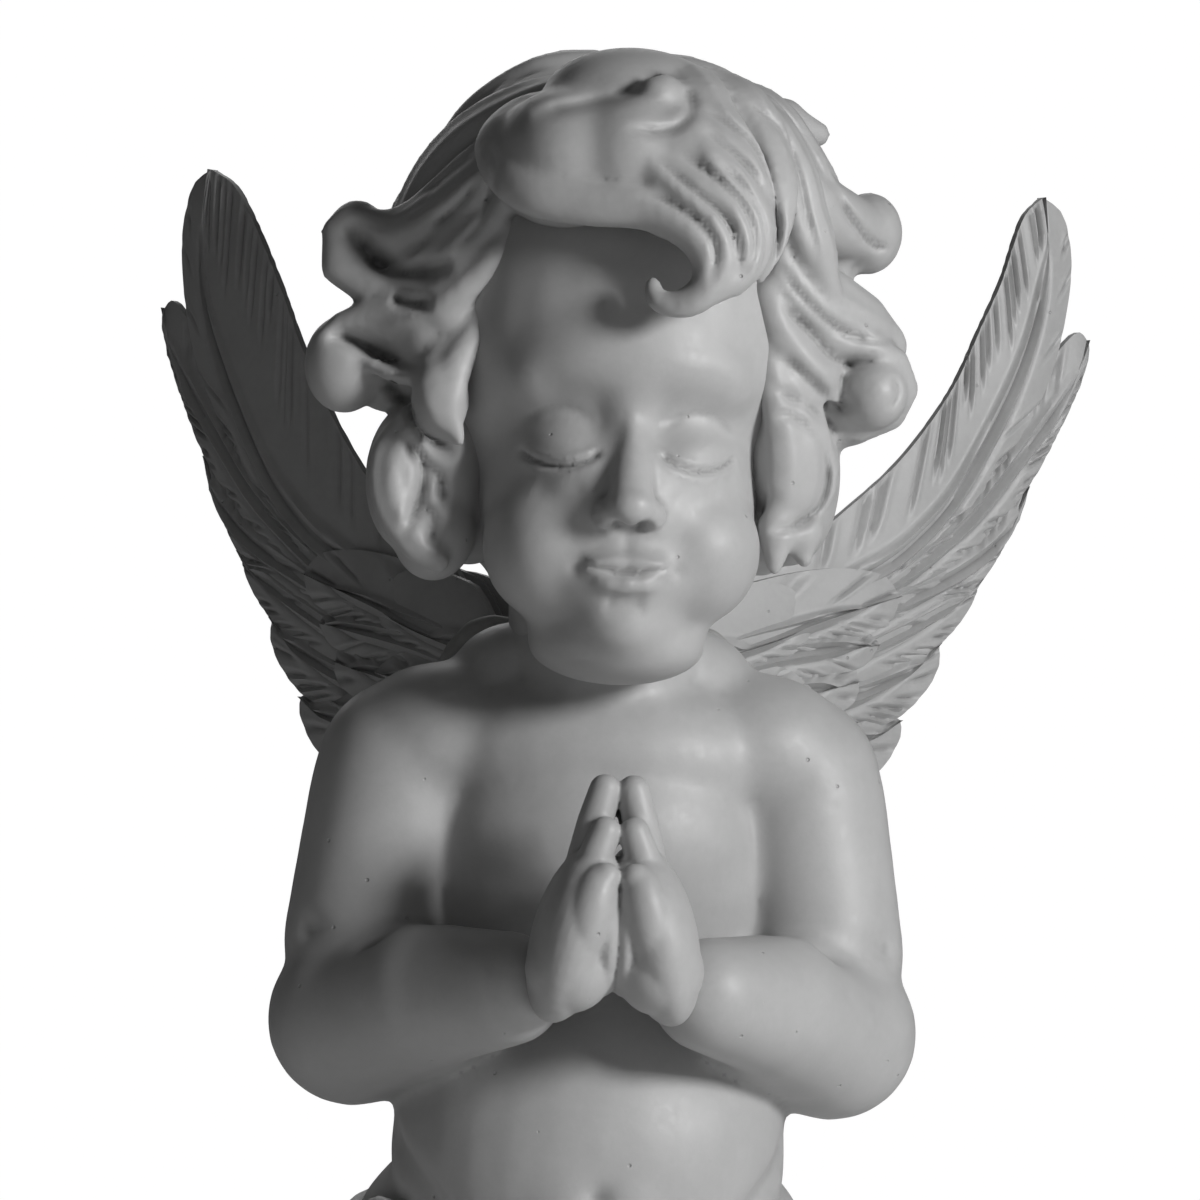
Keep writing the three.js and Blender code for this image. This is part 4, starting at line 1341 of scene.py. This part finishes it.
def feather(quill, inner, outer, layer, seed, back=False):
    """One feather: two cupped vanes on a double raised quill, with slits along the barbs.

    A feather is drawn as a grid between its three given lines, because its outline and its
    quill bend differently.
    """
    lines = [spline(line, 2) for line in (inner, quill, outer)]
    length = np.linalg.norm(np.diff(lines[1], axis=0), axis=1).sum()
    rows = max(24, int(length / FEATHER_STEP))
    t = np.linspace(0, 1, rows) ** 0.92

    def sample(line, shares):
        reached = np.concatenate([[0], np.cumsum(np.linalg.norm(np.diff(line, axis=0), axis=1))])
        at = np.minimum(shares, 1) * reached[-1]
        return np.stack([np.interp(at, reached, line[:, k]) for k in (0, 1)], axis=1)

    quill = sample(lines[1], t)
    widths = [np.linalg.norm(sample(line, t) - quill, axis=1) for line in (lines[0], lines[2])]
    lean = BARB_LEAN * np.minimum(1, t / 0.3) / length
    inner = sample(lines[0], t + lean * widths[0])
    outer = sample(lines[2], t + lean * widths[1])
    taper = np.sqrt(np.minimum(1, t / 0.08 + 0.04))[:, None]
    inner = quill + (inner - quill) * taper
    outer = quill + (outer - quill) * taper
    halves = [max(7, int(width.max() / FEATHER_STEP)) for width in widths]
    left = np.linspace(1, 0, halves[0], endpoint=False)
    right = np.linspace(0, 1, halves[1] + 1)
    flat = np.concatenate(
        [
            quill[:, None] + (inner - quill)[:, None] * left[None, :, None],
            quill[:, None] + (outer - quill)[:, None] * right[None, :, None],
        ],
        axis=1,
    )
    share = np.concatenate([-left, right])[None, :]
    offset = np.where(share < 0, share * widths[0][:, None], share * widths[1][:, None])
    t = t[:, None]
    rng = np.random.default_rng(seed)
    shown = np.clip((0.93 - t) / 0.12, 0, 1)
    crown = 1.25 * (1 - np.abs(share) ** 2.4)
    relief = 1.4 * np.exp(-((offset / 0.85) ** 2)) + 1.1 * np.exp(-(((offset + 2.7) / 0.75) ** 2))
    relief -= 0.6 * np.exp(-(((offset - 1.7) / 0.6) ** 2)) + 0.5 * np.exp(-(((offset + 1.35) / 0.45) ** 2))
    relief = relief * shown
    reach = t * length
    for side in (-1, 1):
        place = 0.04 * length
        while place < 0.86 * length:
            place += rng.uniform(6.0, 15.0)
            foot = rng.uniform(0.3, 0.62)
            for extra in range(rng.integers(1, 4)):
                start = place + extra * rng.uniform(2.6, 3.8)
                first = foot + rng.uniform(-0.1, 0.12)
                depth = rng.uniform(0.6, 1.15)
                along = np.clip((np.abs(share) - first) / 0.15, 0, 1) * (np.sign(share + 1e-6) == side)
                along = along * np.clip((1.02 - np.abs(share)) / 0.1, 0, 1)
                relief = relief - depth * along * np.exp(-(((reach - start) / 0.95) ** 2))
                relief = relief + 0.3 * depth * along * np.exp(-(((reach - start - 2) / 0.9) ** 2))
    lift = layer * LAYER
    front = lift + 0.7 + crown + relief
    behind = lift - 0.9 - (0.4 * crown + (relief if back else 0.0 * relief))
    top = np.concatenate([flat, front[..., None]], axis=2).reshape(-1, 3)
    base = np.concatenate([flat, behind[..., None]], axis=2).reshape(-1, 3)
    points = np.vstack([top, base])
    columns = flat.shape[1]
    count = rows * columns
    faces = []
    for i in range(rows - 1):
        for j in range(columns - 1):
            a, b = i * columns + j, i * columns + j + 1
            c, d = b + columns, a + columns
            faces.append((a, b, c, d))
            faces.append((count + d, count + c, count + b, count + a))
    rim = [i * columns for i in range(rows)] + [(rows - 1) * columns + j for j in range(1, columns)]
    rim += [i * columns + columns - 1 for i in range(rows - 2, -1, -1)] + list(range(columns - 2, 0, -1))
    for a, b in zip(rim, rim[1:] + rim[:1]):
        faces.append((a, b, count + b, count + a))
    return points, faces


def wing_place(points, name):
    """Stands the flat wing up, sweeps it back and sets it on its root."""
    side = SIDES[name]
    sweep = math.radians(getattr(detail(), f"{name}_sweep"))
    reach, height, front = points[:, 0], points[:, 1], points[:, 2]
    cup = 5.0 * (reach / 96) ** 2
    out = reach * math.cos(sweep) + (front - cup) * math.sin(sweep)
    back = reach * math.sin(sweep) - (front - cup) * math.cos(sweep)
    root = WING_ROOT[name]
    return np.stack([root.x + side * out, WING_FOOT[name] + 2.5 + back, root.z + height], axis=1)


class OBJECT_OT_cherub_wings(bpy.types.Operator):
    """Model both wings feather by feather, with the boss that is pinned to the back"""

    bl_idname = "object.cherub_wings"
    bl_label = "Wings"

    def execute(self, context):
        for name, side in SIDES.items():
            feathers = []
            for index, measures in enumerate(FEATHERS):
                if index == 5 and name == "left":
                    measures = {**measures, "inner": BROAD_INNER}
                points, faces = feather(**measures, seed=index + 3, back=index < 6)
                if side > 0:
                    faces = [face[::-1] for face in faces]
                feathers.append(new_mesh(f"feather_{index}", wing_place(points, name), faces))
                if index > 5:
                    behind = points * (1, 1, -1) + (0, 0, 3.2)
                    faces = [face[::-1] for face in faces]
                    feathers.append(new_mesh(f"back_feather_{index}", wing_place(behind, name), faces))
            root = WING_ROOT[name]
            foot = WING_FOOT[name]
            boss = clay(
                "boss",
                [
                    (limb, Vector((root.x, root.y + 9, root.z)), 10.5,
                     Vector((root.x, foot + 2, root.z)), 10),
                    (
                        ball,
                        Vector((root.x + side * 9, foot + 7, root.z + 3)),
                        (14, 3.4, 10),
                        (0, 0, side * getattr(detail(), f"{name}_sweep")),
                    ),
                ],
            )
            fuse(boss, 1.2, 6)
            wing = join(f"{name}_wing", [boss, *feathers])
            activate(wing)
            bpy.ops.object.mode_set(mode="EDIT")
            bpy.ops.mesh.select_all(action="SELECT")
            bpy.ops.mesh.remove_doubles(threshold=0.02 * MM)
            bpy.ops.mesh.normals_make_consistent(inside=False)
            bpy.ops.object.mode_set(mode="OBJECT")
            # The wings get the darker resin, which paints shade onto them.
            shade(wing, MATERIALS["wing"], f"{name}_wing_casting", 50)
        return {"FINISHED"}


# ---------------------------------------------------------------- plinth, felt, filler, fixings
def turned_oval(name, half_width, half_depth, profile):
    """An oval turning: a disc raised step by step, each step drawn in or out."""
    deselect()
    first_share, first_z = profile[0]
    bpy.ops.mesh.primitive_circle_add(vertices=144, radius=MM, fill_type="NGON", location=(0, 0, 0))
    obj = bpy.context.object
    obj.name = name
    bpy.ops.object.mode_set(mode="EDIT")
    bpy.ops.mesh.select_all(action="SELECT")
    bpy.ops.transform.resize(value=(first_share * half_width, first_share * half_depth, 1),
        center_override=(0, 0, 0))
    bpy.ops.transform.translate(value=(0, 0, first_z * MM))
    for (share, z), (next_share, next_z) in zip(profile[:-1], profile[1:]):
        bpy.ops.mesh.extrude_region_move(TRANSFORM_OT_translate={"value": (0, 0, (next_z - z) * MM)})
        ratio = next_share / share
        bpy.ops.transform.resize(value=(ratio, ratio, 1), center_override=(0, 0, next_z * MM))
    bpy.ops.mesh.select_all(action="SELECT")
    bpy.ops.mesh.normals_make_consistent(inside=False)
    bpy.ops.object.mode_set(mode="OBJECT")
    return obj


class OBJECT_OT_cherub_plinth(bpy.types.Operator):
    """Turn the oval plinth and cut the felt that is glued under it"""

    bl_idname = "object.cherub_plinth"
    bl_label = "Plinth and felt"

    def execute(self, context):
        lowest, highest = low("plinth_casting"), high("plinth_casting")
        height = highest.z - lowest.z
        profile = [(0.985, lowest.z), (1, lowest.z + 1), (1, lowest.z + 4.4), (0.99, lowest.z + 5.2)]
        cove = 10
        for i in range(cove + 1):
            angle = math.pi / 2 * i / cove
            share = 0.918 + 0.06 * (1 - math.sin(angle))
            profile.append((share, lowest.z + 5.8 + (height - 9.4) * (1 - math.cos(angle))))
        profile += [(0.93, highest.z - 3.4), (0.935, highest.z - 2.2), (0.93, highest.z - 0.9),
            (0.915, highest.z - 0.1), (0.905, highest.z)]
        plinth = turned_oval("plinth", highest.x, highest.y, profile)
        shade(plinth, MATERIALS["resin"], "plinth_casting", 35)
        felt_low, felt_high = low("felt_pad"), high("felt_pad")
        felt_profile = [(0.994, felt_low.z), (1, felt_low.z + 0.4), (1, felt_high.z - 0.4),
            (0.994, felt_high.z)]
        felt = turned_oval("felt", felt_high.x, felt_high.y, felt_profile)
        shade(felt, MATERIALS["felt"], "felt_pad", 35)
        return {"FINISHED"}


class OBJECT_OT_cherub_fixings(bpy.types.Operator):
    """Finish the filler beads, pins, screws and dowel"""

    bl_idname = "object.cherub_fixings"
    bl_label = "Filler and fixings"

    def execute(self, context):
        for name in SIDES:
            root = WING_ROOT[name]
            deselect()
            bpy.ops.mesh.primitive_torus_add(
                major_segments=96,
                minor_segments=20,
                major_radius=12.2 * MM,
                minor_radius=2.0 * MM,
                location=root * MM,
                rotation=(math.pi / 2, 0, 0),
            )
            bead = bpy.context.object
            bead.name = f"{name}_filler"
            bpy.ops.object.transform_apply(location=True, rotation=True, scale=True)
            points, normals = points_of(bead), normals_of(bead)
            around = np.arctan2(points[:, 2] - root.z, points[:, 0] - root.x)
            smear = 0.4 * np.sin(3 * around + 1) + 0.25 * np.sin(7 * around)
            smear += 0.1 * np.sin(17 * around + points[:, 1])
            set_points(bead, points + normals * smear[:, None])
            shade(bead, MATERIALS["filler"], f"{name}_wing_filler")
        steel = ["plinth_screw", "wrist_pin", "wing_upper_pin", "wing_lower_pin"]
        looks = {f"{name}_{part}": "steel" for name in SIDES for part in steel}
        looks["neck_dowel"] = "beech"
        for node, look in looks.items():
            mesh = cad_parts[node].data
            mesh.materials.clear()
            mesh.materials.append(MATERIALS[look])
        return {"FINISHED"}


# ---------------------------------------------------------------- stage
def area_light(name, place, target, size, power):
    deselect()
    direction = Vector(target) - Vector(place)
    bpy.ops.object.light_add(type="AREA", location=place,
        rotation=direction.to_track_quat("-Z", "Y").to_euler())
    light = bpy.context.object
    light.name = name
    light.data.shape = "DISK"
    light.data.size = size
    light.data.energy = power


class SCENE_OT_cherub_stage(bpy.types.Operator):
    """Set the floor, the white surround, the soft lights and the camera"""

    bl_idname = "scene.cherub_stage"
    bl_label = "Stage"

    def execute(self, context):
        scene = context.scene
        scene.view_settings.view_transform = "Standard"
        deselect()
        bpy.ops.mesh.primitive_circle_add(vertices=128, radius=0.55, fill_type="NGON", location=(0, 0, 0))
        floor = bpy.context.object
        floor.name = "floor"
        material, _, shader = new_material("pale_floor")
        shader.inputs["Base Color"].default_value = linear("f4f4f4")
        shader.inputs["Roughness"].default_value = 0.8
        floor.data.materials.append(material)
        bpy.ops.mesh.primitive_uv_sphere_add(segments=48, ring_count=24, radius=6, location=(0, 0, 0))
        surround = bpy.context.object
        surround.name = "surround"
        white, _, shader = new_material("white_surround")
        shader.inputs["Base Color"].default_value = linear("000000")
        shader.inputs["Emission Color"].default_value = linear("ffffff")
        shader.inputs["Emission Strength"].default_value = 1.0
        surround.data.materials.append(white)
        for ray in ("visible_diffuse", "visible_glossy", "visible_transmission", "visible_shadow",
            "visible_volume_scatter"):
            setattr(surround, ray, False)
        world = bpy.data.worlds.new("soft_room") if scene.world is None else scene.world
        scene.world = world
        world.use_nodes = True
        background = world.node_tree.nodes["Background"]
        background.inputs["Color"].default_value = linear("ffffff")
        background.inputs["Strength"].default_value = 0.04
        aim = (0, 0, 0.2)
        area_light("key", (0.54, -0.54, 0.42), aim, 0.2, 5.7)
        area_light("fill", (-0.3, -1.2, 0.3), aim, 0.8, 0.65)
        area_light("back", (-0.2, 1.3, 0.9), aim, 1.0, 4.0)
        azimuth, roll, distance = math.radians(-4), math.radians(2.2), 0.855
        centre = Vector((-1.3, 0, NECK + 11.7)) * MM
        forward = Vector((-math.sin(azimuth), math.cos(azimuth), 0))
        turn = (
            Matrix.Rotation(azimuth, 4, "Z")
            @ Matrix.Rotation(math.pi / 2, 4, "X")
            @ Matrix.Rotation(roll, 4, "Z")
        )
        deselect()
        bpy.ops.object.camera_add(location=centre - forward * distance, rotation=turn.to_euler())
        camera = bpy.context.object
        camera.data.sensor_width = 36
        camera.data.lens = 36 * distance / 0.228
        camera.data.clip_start = 0.01
        scene.camera = camera
        return {"FINISHED"}


class VIEW3D_PT_cherub(bpy.types.Panel):
    bl_label = "Praying cherub"
    bl_idname = "VIEW3D_PT_cherub"
    bl_space_type = "VIEW_3D"
    bl_region_type = "UI"
    bl_category = "Cherub"

    def draw(self, context):
        for operator in OPERATORS:
            self.layout.operator(operator.bl_idname)
        for group in (context.scene.cherub_finish, context.scene.cherub_detail):
            for key in group.__annotations__:
                self.layout.prop(group, key)


OPERATORS = [
    SCENE_OT_cherub_stage,
    OBJECT_OT_cherub_body,
    OBJECT_OT_cherub_cloth,
    OBJECT_OT_cherub_face,
    OBJECT_OT_cherub_hair,
    OBJECT_OT_cherub_hands,
    OBJECT_OT_cherub_wings,
    OBJECT_OT_cherub_plinth,
    OBJECT_OT_cherub_fixings,
]
GROUPS = {"cherub_finish": CherubFinish, "cherub_detail": CherubDetail}


def register():
    for group in GROUPS.values():
        bpy.utils.register_class(group)
    for operator in OPERATORS:
        bpy.utils.register_class(operator)
    bpy.utils.register_class(VIEW3D_PT_cherub)
    for name, group in GROUPS.items():
        setattr(bpy.types.Scene, name, PointerProperty(type=group))


def unregister():
    for name in GROUPS:
        delattr(bpy.types.Scene, name)
    bpy.utils.unregister_class(VIEW3D_PT_cherub)
    for operator in reversed(OPERATORS):
        bpy.utils.unregister_class(operator)
    for group in reversed(GROUPS.values()):
        bpy.utils.unregister_class(group)


def main():
    register()
    make_materials()
    for operator in OPERATORS:
        category, name = operator.bl_idname.split(".")
        getattr(getattr(bpy.ops, category), name)()


if __name__ == "__main__":
    main()
